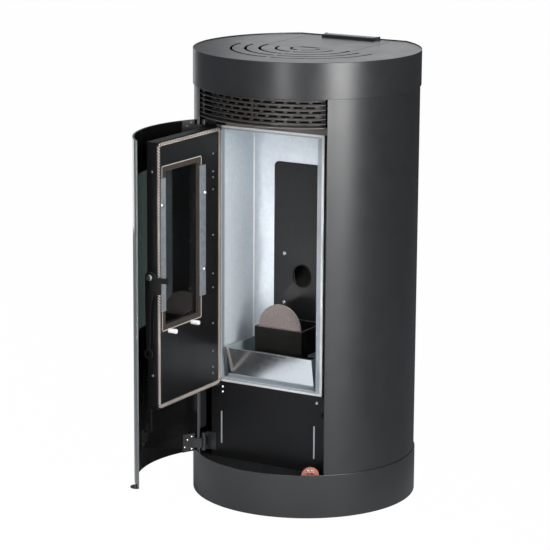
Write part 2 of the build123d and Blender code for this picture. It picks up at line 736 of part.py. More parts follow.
catch_angle = 33.0
catch_radius = 241.0  # outer face of the catch
catch_depth = 7.0
catch_half = 20.0
catch_height = 23.0
catch_x, catch_y = polar(catch_radius, catch_angle)
catch_plane = Plane(origin=(catch_x, catch_y, deck_height + seat_gap),
                    x_dir=polar(1, catch_angle + 90) + (0,), z_dir=polar(1, catch_angle) + (0,))
with BuildPart() as magnetic_catch:
    with BuildSketch(catch_plane):
        with BuildLine():
            Line((-catch_half, 0), (catch_half, 0))
            Line((catch_half, 0), (catch_half, 4))
            ThreePointArc((catch_half, 4), (0, catch_height), (-catch_half, 4))
            Line((-catch_half, 4), (-catch_half, 0))
        make_face()
    extrude(amount=-catch_depth)
    with BuildSketch(catch_plane):
        with GridLocations(9, 7, 2, 2):
            with Locations((0, 13)):
                Rectangle(5.5, 2.4)
    extrude(amount=1.2)
    with BuildSketch(catch_plane.offset(-catch_depth)):
        with Locations((0, 1.5)):
            Rectangle(2 * catch_half, 3)
    extrude(amount=-10)
save(magnetic_catch, "magnetic_catch")

# ---------------------------------------------------------------- inner door
# Drawn as closed, in a plane that turns about the hinge pin to the open position.
closed_face = frame_plane - door_face_gap
near_edge = inner_pin_x - 4.15
far_edge = near_edge + door_width
open_x = inner_pin_x - inner_pin_y
open_y = inner_pin_y + inner_pin_x


def inner_door_plane(level):
    """Horizontal plane of the inner door in which closed-door coordinates hold."""
    return Plane(origin=(open_x, open_y, level), x_dir=(0, -1, 0), z_dir=(0, 0, 1))


def inner_face_plane(depth):
    """Upright plane at a depth behind the inner face: x = closed x, y = height."""
    return Plane(origin=(open_x + closed_face - depth, open_y, 0), x_dir=(0, -1, 0), z_dir=(-1, 0, 0))


door_middle_x = (near_edge + far_edge) / 2
door_middle_z = (door_bottom + door_top) / 2
window_left = near_edge + window_hinge_side
window_right = far_edge - window_free_side
window_x = (window_left + window_right) / 2
window_z = (window_bottom + window_top) / 2
window_width = window_right - window_left
window_height = window_top - window_bottom
pin_hole_depth = 14.0

with BuildPart() as inner_door:
    with BuildSketch(inner_face_plane(0)):
        with Locations((door_middle_x, door_middle_z)):
            RectangleRounded(door_width, door_top - door_bottom, 2)
    extrude(amount=door_thickness)
    with BuildSketch(inner_face_plane(0)):
        with Locations((door_middle_x, door_middle_z)):
            RectangleRounded(door_width - 2 * gasket_edge, door_top - door_bottom - 2 * gasket_edge, 3)
            RectangleRounded(door_width - 2 * gasket_edge - 2 * gasket_width - 1,
                             door_top - door_bottom - 2 * gasket_edge - 2 * gasket_width - 1, 3,
                             mode=Mode.SUBTRACT)
    extrude(amount=gasket_depth, mode=Mode.SUBTRACT)
    with BuildSketch(inner_face_plane(0)):
        with Locations((window_x, window_z)):
            Rectangle(window_width, window_height)
    extrude(amount=window_recess, mode=Mode.SUBTRACT)
    with BuildSketch(inner_face_plane(0)):
        with Locations((window_x, window_z)):
            RectangleRounded(window_width - 2 * window_tape, window_height - 2 * window_tape, 4)
    extrude(amount=door_thickness, mode=Mode.SUBTRACT)
    with BuildSketch(inner_face_plane(gasket_depth + door_sheet)):
        with Locations((door_middle_x, door_middle_z)):
            Rectangle(door_width - 2 * door_sheet, door_top - door_bottom - 2 * door_sheet)
        with Locations((window_x, window_z)):
            Rectangle(window_width + 2 * door_sheet, window_height + 2 * door_sheet, mode=Mode.SUBTRACT)
        for level in (door_bottom, door_top):
            with Locations((near_edge, level)):
                Rectangle(30, 34, mode=Mode.SUBTRACT)
    extrude(amount=door_thickness, mode=Mode.SUBTRACT)
    for level in (door_bottom, door_top - pin_hole_depth):
        with BuildSketch(inner_door_plane(level)):
            with Locations((inner_pin_x, inner_pin_y)):
                Circle(inner_pin_radius + bore_play)
        extrude(amount=pin_hole_depth, mode=Mode.SUBTRACT)
save(inner_door, "inner_door")

with BuildPart() as door_gasket:
    rope_edge = gasket_edge + 0.3
    with BuildSketch(inner_face_plane(-gasket_proud)):
        with Locations((door_middle_x, door_middle_z)):
            RectangleRounded(door_width - 2 * rope_edge, door_top - door_bottom - 2 * rope_edge, 2.7)
            RectangleRounded(door_width - 2 * rope_edge - 2 * gasket_width + 0.6,
                             door_top - door_bottom - 2 * rope_edge - 2 * gasket_width + 0.6, 2.7,
                             mode=Mode.SUBTRACT)
    extrude(amount=gasket_proud + gasket_depth - seat_gap)
save(door_gasket, "door_gasket")

with BuildPart() as glass_gasket:
    with BuildSketch(inner_face_plane(0.5)):
        with Locations((window_x, window_z)):
            Rectangle(window_width - 1, window_height - 1)
            RectangleRounded(window_width - 2 * window_tape, window_height - 2 * window_tape, 4,
                             mode=Mode.SUBTRACT)
    extrude(amount=window_recess - glass_sheet - seat_gap - 1.1)
save(glass_gasket, "glass_gasket")

with BuildPart() as door_glass:
    with BuildSketch(inner_face_plane(window_recess - glass_sheet - seat_gap)):
        with Locations((window_x, window_z)):
            Rectangle(window_width - 2, window_height - 2)
    extrude(amount=glass_sheet)
save(door_glass, "door_glass")

strip_sheet = 1.5
strip_length = 0.8 * window_height
strip_z = window_z + 13.5
with BuildPart() as glass_strips:
    with BuildSketch(inner_face_plane(-seat_gap - strip_sheet)):
        with Locations((window_left - 2, strip_z)):
            Rectangle(24, strip_length)
        with Locations((window_right - 5, strip_z - 4)):
            Rectangle(18, strip_length)
    extrude(amount=strip_sheet)
save(glass_strips, "glass_strips")

strip_screws = ((window_left - 11, 714), (window_left - 8, 543), (window_right, 714))
screw_levels = (795, 755, 742, 715, 612, 525, 493, 411, 347, 310, 296)
hinge_side_screws = tuple((near_edge + 33, level) for level in screw_levels)
stud_z = 433.0
side_plane = Plane(origin=(open_x + closed_face - 13, open_y - far_edge, 0), x_dir=(1, 0, 0),
                   z_dir=(0, -1, 0))
with BuildPart() as door_screws:
    with BuildSketch(inner_face_plane(-seat_gap - strip_sheet)):
        with Locations(*strip_screws):
            Circle(5)
    extrude(amount=-3)
    with BuildSketch(inner_face_plane(0)):
        with Locations(*hinge_side_screws):
            Circle(2.6)
    extrude(amount=-1.6)
    with BuildSketch(side_plane):
        with Locations((0, 788), (0, 340)):
            Circle(3.2)
    extrude(amount=1.8)
    with BuildSketch(inner_face_plane(0)):
        with Locations((near_edge + 121.9, stud_z), (near_edge + 213.7, stud_z)):
            Circle(5.2)
    extrude(amount=-20)
save(door_screws, "door_screws")

# ---------------------------------------------------------------- inner door latch
latch_pivot_depth = 13.0  # pivot behind the inner face
latch_z = 560.0
latch_gap = 9.0  # the pivot carries the lever clear of the frame
latch_sheet = 3.0
latch_reach = 160.0  # length of the arm down to the ring for the tool
pivot_radius = 4.0
latch_plane = Plane(
    origin=(open_x + closed_face, open_y - far_edge - latch_gap, latch_z), x_dir=(1, 0, 0),
    z_dir=(0, -1, 0),
)
with BuildPart() as latch_lever:
    with BuildSketch(latch_plane):
        with BuildLine():
            Polyline((-24, 4), (-20, 11), (-10, 12), (-2, 10), (4, 2), (28, 2), (31, 7), (34, 7),
                     (34, -10), (16, -10), (16, -34), (-4, -40), (-10, -60), (-12, -latch_reach),
                     (-22, -latch_reach), (-24, -60), close=True)
        make_face()
        with Locations((-17, -latch_reach - 10)):
            Circle(11.5)
            Circle(6.5, mode=Mode.SUBTRACT)
        with Locations((-latch_pivot_depth, 0)):
            Circle(pivot_radius + bore_play, mode=Mode.SUBTRACT)
    extrude(amount=latch_sheet)
save(latch_lever, "latch_lever")

with BuildPart() as latch_pivot:
    with BuildSketch(latch_plane.offset(-latch_gap + seat_gap)):
        with Locations((-latch_pivot_depth, 0)):
            Circle(7)
    extrude(amount=latch_gap - 2 * seat_gap)
    with BuildSketch(latch_plane.offset(-1)):
        with Locations((-latch_pivot_depth, 0)):
            Circle(pivot_radius)
    extrude(amount=latch_sheet + 1.4)
    with BuildSketch(latch_plane.offset(latch_sheet + 0.4)):
        with Locations((-latch_pivot_depth, 0)):
            Circle(7)
    extrude(amount=3)
    chamfer(latch_pivot.edges().group_by(Axis.Y)[0], 1.5)
save(latch_pivot, "latch_pivot")

# ---------------------------------------------------------------- inner door hinge brackets
bracket_sheet = 2.0
bracket_height = 26.0
bracket_width = 22.0
bracket_x = inner_pin_x - 7 + bracket_width / 2
with BuildPart() as inner_hinge_brackets:
    for level, pin_level, plate_z in (
        (door_bottom - 4.5, door_bottom - 4.5, door_bottom - 0.5 - bracket_height / 2),
        (door_top + 0.5, door_top - pin_hole_depth + 1, door_top + 0.5 + 9),
    ):
        with BuildSketch(Plane.XY.offset(level)):
            with Locations((inner_pin_x, inner_pin_y)):
                Circle(7)
            with Locations((inner_pin_x, (inner_pin_y + frame_plane) / 2 - seat_gap)):
                Rectangle(14, frame_plane - inner_pin_y - seat_gap)
        extrude(amount=4)
        with BuildSketch(Plane.XY.offset(pin_level)):
            with Locations((inner_pin_x, inner_pin_y)):
                Circle(inner_pin_radius)
        extrude(amount=pin_hole_depth + 3)
        with BuildSketch(Plane.XZ.offset(-frame_plane + seat_gap)):
            with Locations((bracket_x, plate_z)):
                Rectangle(bracket_width, 18 if level > door_top else bracket_height)
        extrude(amount=bracket_sheet)
save(inner_hinge_brackets, "inner_hinge_brackets")

with BuildPart() as casing_screws:
    with BuildSketch(Plane.XZ.offset(-plate_face)):
        for screw_z in plate_screw_z:
            with Locations((-46, screw_z), (46, screw_z)):
                Circle(4.5)
    extrude(amount=2.6)
    with BuildSketch(Plane.XZ.offset(-frame_plane + seat_gap + bracket_sheet)):
        with Locations((-116, 256), (-116, 244), (-115, 866)):
            Circle(3.6)
    extrude(amount=2.4)
    with BuildSketch(Plane.XZ.offset(-frame_plane)):
        with Locations((frame_half_width - 12, lower_top - 15.7)):
            Circle(4)
    extrude(amount=2.4)
save(casing_screws, "casing_screws")

# ---------------------------------------------------------------- outer door
turn = radians(outer_swing)
outer_origin_x = outer_pin_x - outer_pin_x * cos(turn) - outer_pin_y * sin(turn)
outer_origin_y = outer_pin_y + outer_pin_x * sin(turn) - outer_pin_y * cos(turn)


def outer_door_plane(level):
    """Horizontal plane of the outer door in which closed-door coordinates hold."""
    return Plane(origin=(outer_origin_x, outer_origin_y, level), x_dir=(cos(turn), -sin(turn), 0),
                 z_dir=(0, 0, 1))


with BuildPart() as outer_door:
    with BuildSketch(outer_door_plane(outer_bottom)):
        add(arc_band(outer_radius - outer_glass, outer_radius, outer_hinge_angle, outer_free_angle))
    extrude(amount=outer_top - outer_bottom)
save(outer_door, "outer_door")

leaf_outer = outer_radius - outer_glass - 0.2
leaf_sheet = 3.0
link_corner = polar(leaf_outer - 18.3, -37.75)
barrel_radius = 5.5
barrel_gap = 0.3
fixed_barrel = 9.0
with BuildPart() as outer_hinge_leaves:
    for level in (hinge_low, hinge_high):
        with BuildSketch(outer_door_plane(level)):
            add(arc_band(leaf_outer - leaf_sheet, leaf_outer, -36.0, -28.5))
        extrude(amount=hinge_height)
        with BuildSketch(outer_door_plane(level + fixed_barrel + barrel_gap)):
            with BuildLine() as link:
                Polyline((outer_pin_x + 4, outer_pin_y + 0.5), link_corner, polar(leaf_outer - 1.8, -34.6))
            trace(link.line, line_width=4.5)
            with Locations((outer_pin_x, outer_pin_y)):
                Circle(barrel_radius)
                Circle(outer_pin_radius + bore_play, mode=Mode.SUBTRACT)
        extrude(amount=hinge_height - 2 * fixed_barrel - 2 * barrel_gap)
save(outer_hinge_leaves, "outer_hinge_leaves")

with BuildPart() as outer_hinge_brackets:
    for level in (hinge_low, hinge_high):
        with BuildSketch(Plane.XZ.offset(-frame_plane + seat_gap)):
            with Locations((-146, level + hinge_height / 2)):
                Rectangle(26, hinge_height)
        extrude(amount=2.5)
        for knuckle in (level, level + hinge_height - fixed_barrel):
            with BuildSketch(Plane.XY.offset(knuckle)):
                with Locations((outer_pin_x, outer_pin_y)):
                    Circle(barrel_radius)
                with BuildLine() as arm:
                    Polyline((outer_pin_x, outer_pin_y), (-156, frame_plane - seat_gap - 1.5),
                             (-150, frame_plane - seat_gap - 1.5))
                trace(arm.line, line_width=4)
                with Locations((0, frame_plane + 50)):
                    Rectangle(800, 100 + 2 * seat_gap, mode=Mode.SUBTRACT)
            extrude(amount=fixed_barrel)
        with BuildSketch(Plane.XY.offset(level)):
            with Locations((outer_pin_x, outer_pin_y)):
                Circle(outer_pin_radius)
        extrude(amount=hinge_height)
save(outer_hinge_brackets, "outer_hinge_brackets")

with BuildPart() as hinge_leaf_screws:
    for level in (hinge_low, hinge_high):
        for angle, rise in ((-29.8, 12), (-31.5, 28), (-34.0, 6), (-34.0, 35)):
            x, y = polar(leaf_outer - leaf_sheet - 0.05, angle)
            plane = Plane(origin=outer_door_plane(level + rise).from_local_coords((x, y, 0)),
                          z_dir=outer_door_plane(0).from_local_coords((-x, -y, 0))
                          - outer_door_plane(0).from_local_coords((0, 0, 0)))
            with BuildSketch(plane):
                Circle(2.8)
            extrude(amount=1.6)
save(hinge_leaf_screws, "hinge_leaf_screws")

tab_angle = 36.0
with BuildPart() as pull_tab:
    with BuildSketch(outer_door_plane(outer_bottom - seat_gap - 2.0)):
        with Locations(Location((*polar(outer_radius - 2, tab_angle), 0), (0, 0, tab_angle))):
            Circle(15)
            with Locations((0, 18)):
                Rectangle(60, 34, mode=Mode.SUBTRACT)
        add(arc_band(leaf_outer - 1.2, outer_radius - 2.5, catch_angle - 4, catch_angle + 4))
    extrude(amount=2.0)
    with BuildSketch(outer_door_plane(outer_bottom - 4.5)):
        add(arc_band(leaf_outer - 1.2, leaf_outer, catch_angle - 4, catch_angle + 4))
    extrude(amount=20)
save(pull_tab, "pull_tab")

# ---------------------------------------------------------------- smoke fan and flue
fan_x = -40.0
fan_z = 236.0
fan_front = 34.0
fan_depth = 52.0
fan_radius = 80.0
fan_sheet = 2.0
duct_bottom_z = 158.0
duct_top_z = 242.0
fan_plane = Plane(origin=(0, fan_front, 0), x_dir=(-1, 0, 0), z_dir=(0, 1, 0))


def scroll_outline(inset):
    """Outline of the fan scroll with its outlet, seen from behind."""
    with BuildSketch(mode=Mode.PRIVATE) as outline:
        with Locations((-fan_x, fan_z)):
            Circle(fan_radius - inset)
        with Locations((-(fan_x + flue_x + flue_radius + 3 - inset) / 2, (duct_bottom_z + duct_top_z) / 2)):
            Rectangle(flue_x + flue_radius + 3 - inset - fan_x, duct_top_z - duct_bottom_z - 2 * inset)
    return outline.sketch


with BuildPart() as smoke_fan_housing:
    with BuildSketch(fan_plane):
        add(scroll_outline(0))
    extrude(amount=fan_depth)
    with BuildSketch(fan_plane.offset(fan_sheet)):
        add(scroll_outline(fan_sheet))
    extrude(amount=fan_depth - 2 * fan_sheet, mode=Mode.SUBTRACT)
    with BuildSketch(fan_plane.offset(-1)):
        with Locations((-fan_x, fan_z)):
            Circle(35)
    extrude(amount=fan_sheet + 2, mode=Mode.SUBTRACT)
    with BuildSketch(fan_plane.offset(fan_depth - fan_sheet - 1)):
        with Locations((-fan_x, fan_z)):
            Circle(4 + bore_play)
        with Locations((-flue_x, flue_z)):
            Circle(flue_radius - 1.5)
    extrude(amount=fan_sheet + 2, mode=Mode.SUBTRACT)
save(smoke_fan_housing, "smoke_fan_housing")

blade_count = 8
with BuildPart() as smoke_impeller:
    with BuildSketch(fan_plane.offset(fan_depth - 14)):
        with Locations((-fan_x, fan_z)):
            Circle(60)
    extrude(amount=2)
    with BuildSketch(fan_plane.offset(12)):
        with Locations((-fan_x, fan_z)):
            Circle(10)
    extrude(amount=fan_depth - 26)
    with BuildSketch(fan_plane.offset(16)):
        with Locations((-fan_x, fan_z)):
            with PolarLocations(38, blade_count):
                Rectangle(42, 2, rotation=25)
    extrude(amount=fan_depth - 29)
    with BuildSketch(fan_plane.offset(fan_depth - 13)):
        with Locations((-fan_x, fan_z)):
            Circle(4)
    extrude(amount=24)
save(smoke_impeller, "smoke_impeller")

motor_back = fan_depth + 62
with BuildPart() as smoke_fan_motor:
    with BuildSketch(fan_plane.offset(fan_depth + seat_gap)):
        with Locations((-fan_x, fan_z)):
            Circle(38)
            Circle(4.05, mode=Mode.SUBTRACT)
    extrude(amount=12)
    with BuildSketch(fan_plane.offset(fan_depth + seat_gap + 12)):
        with Locations((-fan_x, fan_z)):
            Circle(38)
    extrude(amount=44)
    chamfer(smoke_fan_motor.edges().group_by(Axis.Y)[-1], 5)
save(smoke_fan_motor, "smoke_fan_motor")

duct_wall = 1.5
duct_back = fan_front - seat_gap
duct_start = firebox_rear + seat_gap
with BuildPart() as smoke_duct:
    with BuildSketch(Plane.XY.offset(fan_z - 42)):
        with Locations((duct_x, (duct_start + duct_back) / 2)):
            Rectangle(2 * duct_half, duct_back - duct_start)
    extrude(amount=duct_front_z + 24 - fan_z + 42)
    with BuildSketch(Plane.XY.offset(fan_z - 42 + duct_wall)):
        with Locations((duct_x, (duct_start + duct_back) / 2)):
            Rectangle(2 * (duct_half - duct_wall), duct_back - duct_start - 2 * duct_wall)
    extrude(amount=duct_front_z + 24 - fan_z + 42 - 2 * duct_wall, mode=Mode.SUBTRACT)
    with BuildSketch(Plane.XZ.offset(-duct_start - 5)):
        with Locations((duct_x, duct_front_z)):
            Rectangle(50, 30)
    extrude(amount=10, mode=Mode.SUBTRACT)
    with BuildSketch(Plane.XZ.offset(-duct_back - 5)):
        with Locations((fan_x - 8, fan_z)):
            Circle(26)
    extrude(amount=10, mode=Mode.SUBTRACT)
save(smoke_duct, "smoke_duct")

pipe_wall = 1.5
rosette_border = 6.0
rosette_sheet = 2.0
rosette_start = rear_face + seat_gap
flue_grip = 52.0
spigot_start = fan_front + fan_depth + seat_gap
with BuildPart() as flue_spigot:
    with BuildSketch(Plane.XZ.offset(-spigot_start)):
        with Locations((flue_x, flue_z)):
            Circle(flue_radius + pipe_step)
    extrude(amount=-(rosette_start - spigot_start))
    with BuildSketch(Plane.XZ.offset(-rosette_start)):
        with Locations((flue_x, flue_z)):
            Rectangle(2 * (flue_radius + rosette_border), 2 * (flue_radius + rosette_border))
    extrude(amount=-rosette_sheet)
    with BuildSketch(Plane.XZ.offset(-rosette_start - rosette_sheet)):
        with Locations((flue_x, flue_z)):
            Circle(flue_radius)
    extrude(amount=-flue_grip)
    with BuildSketch(Plane.XZ.offset(-spigot_start + 1)):
        with Locations((flue_x, flue_z)):
            Circle(flue_radius - pipe_wall)
    extrude(amount=-300, mode=Mode.SUBTRACT)
save(flue_spigot, "flue_spigot")

intake_grip = 42.0
intake_start = firebox_rear + seat_gap
with BuildPart() as air_intake:
    with BuildSketch(Plane.XZ.offset(-intake_start)):
        with Locations((intake_x, intake_z)):
            Circle(intake_radius + pipe_step)
    extrude(amount=-(rosette_start - intake_start))
    for plate_y in (intake_start, rosette_start):
        with BuildSketch(Plane.XZ.offset(-plate_y)):
            with Locations((intake_x, intake_z)):
                Rectangle(2 * (intake_radius + rosette_border), 2 * (intake_radius + rosette_border))
        extrude(amount=-rosette_sheet)
    with BuildSketch(Plane.XZ.offset(-rosette_start - rosette_sheet)):
        with Locations((intake_x, intake_z)):
            Circle(intake_radius)
    extrude(amount=-intake_grip)
    with BuildSketch(Plane.XZ.offset(-intake_start + 1)):
        with Locations((intake_x, intake_z)):
            Circle(intake_radius - pipe_wall)
    extrude(amount=-300, mode=Mode.SUBTRACT)
save(air_intake, "air_intake")

# ---------------------------------------------------------------- room air fan
blower_y = -86.0
blower_z = 158.0
blower_radius = 32.0
blower_half = 86.0
blower_plane = Plane(origin=(-blower_half, blower_y, blower_z), x_dir=(0, 1, 0), z_dir=(1, 0, 0))
with BuildPart() as room_fan_housing:
    with BuildSketch(blower_plane):
        with BuildLine():
            ThreePointArc((-44, 0), (0, -44), (44, 0))
            Line((44, 0), (44, 60))
            Line((44, 60), (42.5, 60))
            Line((42.5, 60), (42.5, 0))
            ThreePointArc((42.5, 0), (0, -42.5), (-42.5, 0))
            Line((-42.5, 0), (-44, 0))
        make_face()
    extrude(amount=2 * blower_half)
    for end in (-1, 1):
        with BuildSketch(blower_plane.offset(blower_half + end * (blower_half + 1) - 1)):
            Rectangle(88, 88)
            Circle(3 + bore_play, mode=Mode.SUBTRACT)
        extrude(amount=2)
    with BuildSketch(Plane.XY.offset(deck_height + seat_gap)):
        with Locations((-blower_half - 1, blower_y), (blower_half + 1, blower_y)):
            Rectangle(2, 88)
    extrude(amount=blower_z - 44 - deck_height - seat_gap)
save(room_fan_housing, "room_fan_housing")

drum_blades = 18
with BuildPart() as room_fan_impeller:
    with BuildSketch(blower_plane.offset(4)):
        Circle(blower_radius)
    extrude(amount=2)
    with BuildSketch(blower_plane.offset(2 * blower_half - 6)):
        Circle(blower_radius)
    extrude(amount=2)
    with BuildSketch(blower_plane.offset(6)):
        with PolarLocations(blower_radius - 5, drum_blades):
            Rectangle(8, 1, rotation=35)
    extrude(amount=2 * blower_half - 12)
    with BuildSketch(blower_plane.offset(-8)):
        Circle(3)
    extrude(amount=2 * blower_half + 16)
save(room_fan_impeller, "room_fan_impeller")

with BuildPart() as room_fan_motor:
    with BuildSketch(blower_plane.offset(2 * blower_half + 2 + seat_gap)):
        Circle(26)
        Circle(3.05, mode=Mode.SUBTRACT)
    extrude(amount=8)
    with BuildSketch(blower_plane.offset(2 * blower_half + 10 + seat_gap)):
        Circle(26)
    extrude(amount=26)
save(room_fan_motor, "room_fan_motor")

# ---------------------------------------------------------------- electrics
board_x = -150.0
board_y = 60.0
board_z = 200.0
board_length = 120.0
board_width = 90.0
board_sheet = 1.6
board_lift = 8.0  # the board stands this far off its bracket
bracket_top = board_z + board_width / 2 + 5
with BuildPart() as control_board:
    with BuildSketch(Plane.YZ.offset(board_x)):
        with Locations((board_y, board_z)):
            Rectangle(board_length, board_width)
    extrude(amount=board_sheet)
    with BuildSketch(Plane.YZ.offset(board_x + board_sheet)):
        with Locations((board_y - 30, board_z - 10)):
            Rectangle(34, 30)
        with Locations((board_y + 20, board_z - 22)):
            Rectangle(26, 18)
        with Locations((board_y + 36, board_z + 22)):
            Circle(8)
        with Locations((board_y + 6, board_z + 22)):
            Rectangle(14, 24)
    extrude(amount=18)
save(control_board, "control_board")

with BuildPart() as board_bracket:
    with BuildSketch(Plane.YZ.offset(board_x - board_lift - 1.5)):
        with Locations((board_y, (panel_bottom + bracket_top) / 2)):
            Rectangle(board_length + 4, bracket_top - panel_bottom)
    extrude(amount=1.5)
    with BuildSketch(Plane.YZ.offset(board_x - board_lift)):
        with Locations((board_y, board_z)):
            with GridLocations(board_length - 16, board_width - 16, 2, 2):
                Circle(3)
    extrude(amount=board_lift - seat_gap)
    with BuildSketch(Plane.XY.offset(panel_bottom)):
        with Locations((board_x - board_lift + 12, board_y)):
            Rectangle(24, board_length + 4)
    extrude(amount=1.5)
save(board_bracket, "board_bracket")

rocker_y = rear_face - 4.0
rocker_pin = 1.5
with BuildPart() as power_inlet:
    with BuildSketch(Plane.XZ.offset(-rear_face - 2.5 - seat_gap)):
        with Locations((inlet_x, inlet_z)):
            Rectangle(34, 26)
    extrude(amount=2.5)
    with BuildSketch(Plane.XZ.offset(-rear_face - 2.5 - seat_gap)):
        with Locations((inlet_x, inlet_z)):
            Rectangle(inlet_width, inlet_height)
    extrude(amount=26)
    with BuildSketch(Plane.XZ.offset(-rear_face - 2.5 - seat_gap)):
        with Locations((inlet_x, inlet_z)):
            RectangleRounded(24, 17, 3)
    extrude(amount=16, mode=Mode.SUBTRACT)
    with BuildSketch(Plane.XZ.offset(-rear_face + 14)):
        with Locations((inlet_x, inlet_z), (inlet_x - 7, inlet_z - 2), (inlet_x + 7, inlet_z - 2)):
            Rectangle(2, 5)
    extrude(amount=-10)
    with BuildSketch(Plane.XZ.offset(-rear_face - 2.5 - seat_gap)):
        with Locations((inlet_x, switch_z)):
            Rectangle(33, 26)
    extrude(amount=2.5)
    with BuildSketch(Plane.XZ.offset(-rear_face - 2.5 - seat_gap)):
        with Locations((inlet_x, switch_z)):
            Rectangle(switch_width, switch_height)
    extrude(amount=22)
    with BuildSketch(Plane.XZ.offset(-rear_face - 2.5 - seat_gap)):
        with Locations((inlet_x, switch_z)):
            Rectangle(24, 15)
    extrude(amount=18, mode=Mode.SUBTRACT)
    with BuildSketch(Plane.YZ.offset(inlet_x - 12.5)):
        with Locations((rocker_y, switch_z)):
            Circle(rocker_pin)
    extrude(amount=25)
save(power_inlet, "power_inlet")

with BuildPart() as switch_rocker:
    with BuildSketch(Plane.YZ.offset(inlet_x - 6.5)):
        with BuildLine():
            Line((rocker_y - 4, switch_z - 5.5), (rocker_y + 8.5, switch_z - 6.5))
            ThreePointArc((rocker_y + 8.5, switch_z - 6.5), (rocker_y + 6, switch_z),
                          (rocker_y + 7.6, switch_z + 6.5))
            Line((rocker_y + 7.6, switch_z + 6.5), (rocker_y - 4, switch_z + 5.5))
            Line((rocker_y - 4, switch_z + 5.5), (rocker_y - 4, switch_z - 5.5))
        make_face()
        with Locations((rocker_y, switch_z)):
            Circle(rocker_pin + bore_play, mode=Mode.SUBTRACT)
    extrude(amount=13)
save(switch_rocker, "switch_rocker")
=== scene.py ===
import json
from math import cos, pi, radians, sin

import bmesh
import bpy
from mathutils import Matrix, Vector

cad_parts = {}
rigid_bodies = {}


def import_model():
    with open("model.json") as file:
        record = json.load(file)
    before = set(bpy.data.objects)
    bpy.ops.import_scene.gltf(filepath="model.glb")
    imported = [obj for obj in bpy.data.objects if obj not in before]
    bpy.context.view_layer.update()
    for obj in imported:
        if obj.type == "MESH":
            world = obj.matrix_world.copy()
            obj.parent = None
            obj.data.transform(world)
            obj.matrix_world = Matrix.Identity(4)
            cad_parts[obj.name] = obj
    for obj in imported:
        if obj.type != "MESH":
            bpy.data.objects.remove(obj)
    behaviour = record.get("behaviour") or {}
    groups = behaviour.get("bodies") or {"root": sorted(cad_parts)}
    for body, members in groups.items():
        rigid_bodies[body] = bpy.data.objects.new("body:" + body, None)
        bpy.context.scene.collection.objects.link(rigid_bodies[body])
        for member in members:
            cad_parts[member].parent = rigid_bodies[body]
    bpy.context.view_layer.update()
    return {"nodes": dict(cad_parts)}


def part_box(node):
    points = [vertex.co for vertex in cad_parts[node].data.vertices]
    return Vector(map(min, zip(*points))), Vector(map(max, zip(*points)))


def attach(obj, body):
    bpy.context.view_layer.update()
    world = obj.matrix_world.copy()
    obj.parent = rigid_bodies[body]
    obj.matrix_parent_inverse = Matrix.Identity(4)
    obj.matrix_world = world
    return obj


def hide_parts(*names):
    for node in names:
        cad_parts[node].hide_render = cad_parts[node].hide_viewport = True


# Round pellet stove with both doors open. Metres, front = -Y, origin on the floor under the axis.
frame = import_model()
nodes = frame["nodes"]
scene = bpy.context.scene
curve_angle = radians(28)  # facets that meet at less than this are shaded as one curve
bpy.ops.object.select_all(action="SELECT")
bpy.ops.object.shade_smooth_by_angle(angle=curve_angle)
bpy.ops.object.select_all(action="DESELECT")

# ---------------------------------------------------------------- camera
# Long lens from the front right, a little above the top plate, rolled by a third of a degree,
# as the photograph was taken.
camera_data = bpy.data.cameras.new("camera")
camera_data.lens = 164.02
camera_data.sensor_width = 36.0
camera_data.clip_end = 50.0
camera = bpy.data.objects.new("camera", camera_data)
scene.collection.objects.link(camera)
look = Vector((-0.4906, 0.8425, -0.2224)).normalized()
roll = Matrix.Rotation(0.0064, 3, "Z")
camera.location = (2.731, -4.827, 1.7596)
camera.rotation_euler = (look.to_track_quat("-Z", "Y").to_matrix() @ roll).to_euler()
scene.camera = camera
scene.view_settings.view_transform = "Standard"

# ---------------------------------------------------------------- floor and light
# White floor and backdrop for the camera and through glass; other rays find a dim bluish room and
# a floor with painted shade that makes it darker behind the stove. Six soft boxes draw the bands on
# the casing.


def seen_directly(tree):
    """1 for rays that come from the camera or through glass, 0 for all others."""
    rays = tree.nodes.new("ShaderNodeLightPath")
    either = tree.nodes.new("ShaderNodeMath")
    either.operation = "MAXIMUM"
    tree.links.new(rays.outputs["Is Camera Ray"], either.inputs[0])
    tree.links.new(rays.outputs["Is Transmission Ray"], either.inputs[1])
    return either.outputs[0]


world = bpy.data.worlds.new("studio")
scene.world = world
world.use_nodes = True
tree = world.node_tree
tree.nodes.clear()
seen = tree.nodes.new("ShaderNodeBackground")
seen.inputs["Color"].default_value = (1.0, 1.0, 1.0, 1.0)
unseen = tree.nodes.new("ShaderNodeBackground")
unseen.inputs["Color"].default_value = (0.86, 0.93, 1.0, 1.0)
unseen.inputs["Strength"].default_value = 0.20
mixed = tree.nodes.new("ShaderNodeMixShader")
world_out = tree.nodes.new("ShaderNodeOutputWorld")
tree.links.new(seen_directly(tree), mixed.inputs["Fac"])
tree.links.new(unseen.outputs[0], mixed.inputs[1])
tree.links.new(seen.outputs[0], mixed.inputs[2])
tree.links.new(mixed.outputs[0], world_out.inputs["Surface"])

floor_gap = 0.0006  # the studio floor lies this far under the stove's own floor plane
bpy.ops.mesh.primitive_plane_add(size=24.0, location=(0, 0, -floor_gap))
floor = bpy.context.object
floor.name = "studio_floor"
floor_paint = bpy.data.materials.new("studio_floor")
floor_paint.use_nodes = True
tree = floor_paint.node_tree
tree.nodes.clear()
glow = tree.nodes.new("ShaderNodeEmission")
glow.inputs["Color"].default_value = (1.0, 1.0, 1.0, 1.0)
matt = tree.nodes.new("ShaderNodeBsdfDiffuse")
spot = tree.nodes.new("ShaderNodeTexCoord")
toward = tree.nodes.new("ShaderNodeVectorMath")
toward.operation = "DOT_PRODUCT"
toward.inputs[1].default_value = (-0.5, -0.87, 0.0)
ramp = tree.nodes.new("ShaderNodeMapRange")
ramp.inputs["From Min"].default_value = -0.5
ramp.inputs["From Max"].default_value = 0.5
# painted shade: for the other rays the floor's colour runs from dark behind the stove to light in
# front
shade = tree.nodes.new("ShaderNodeMix")
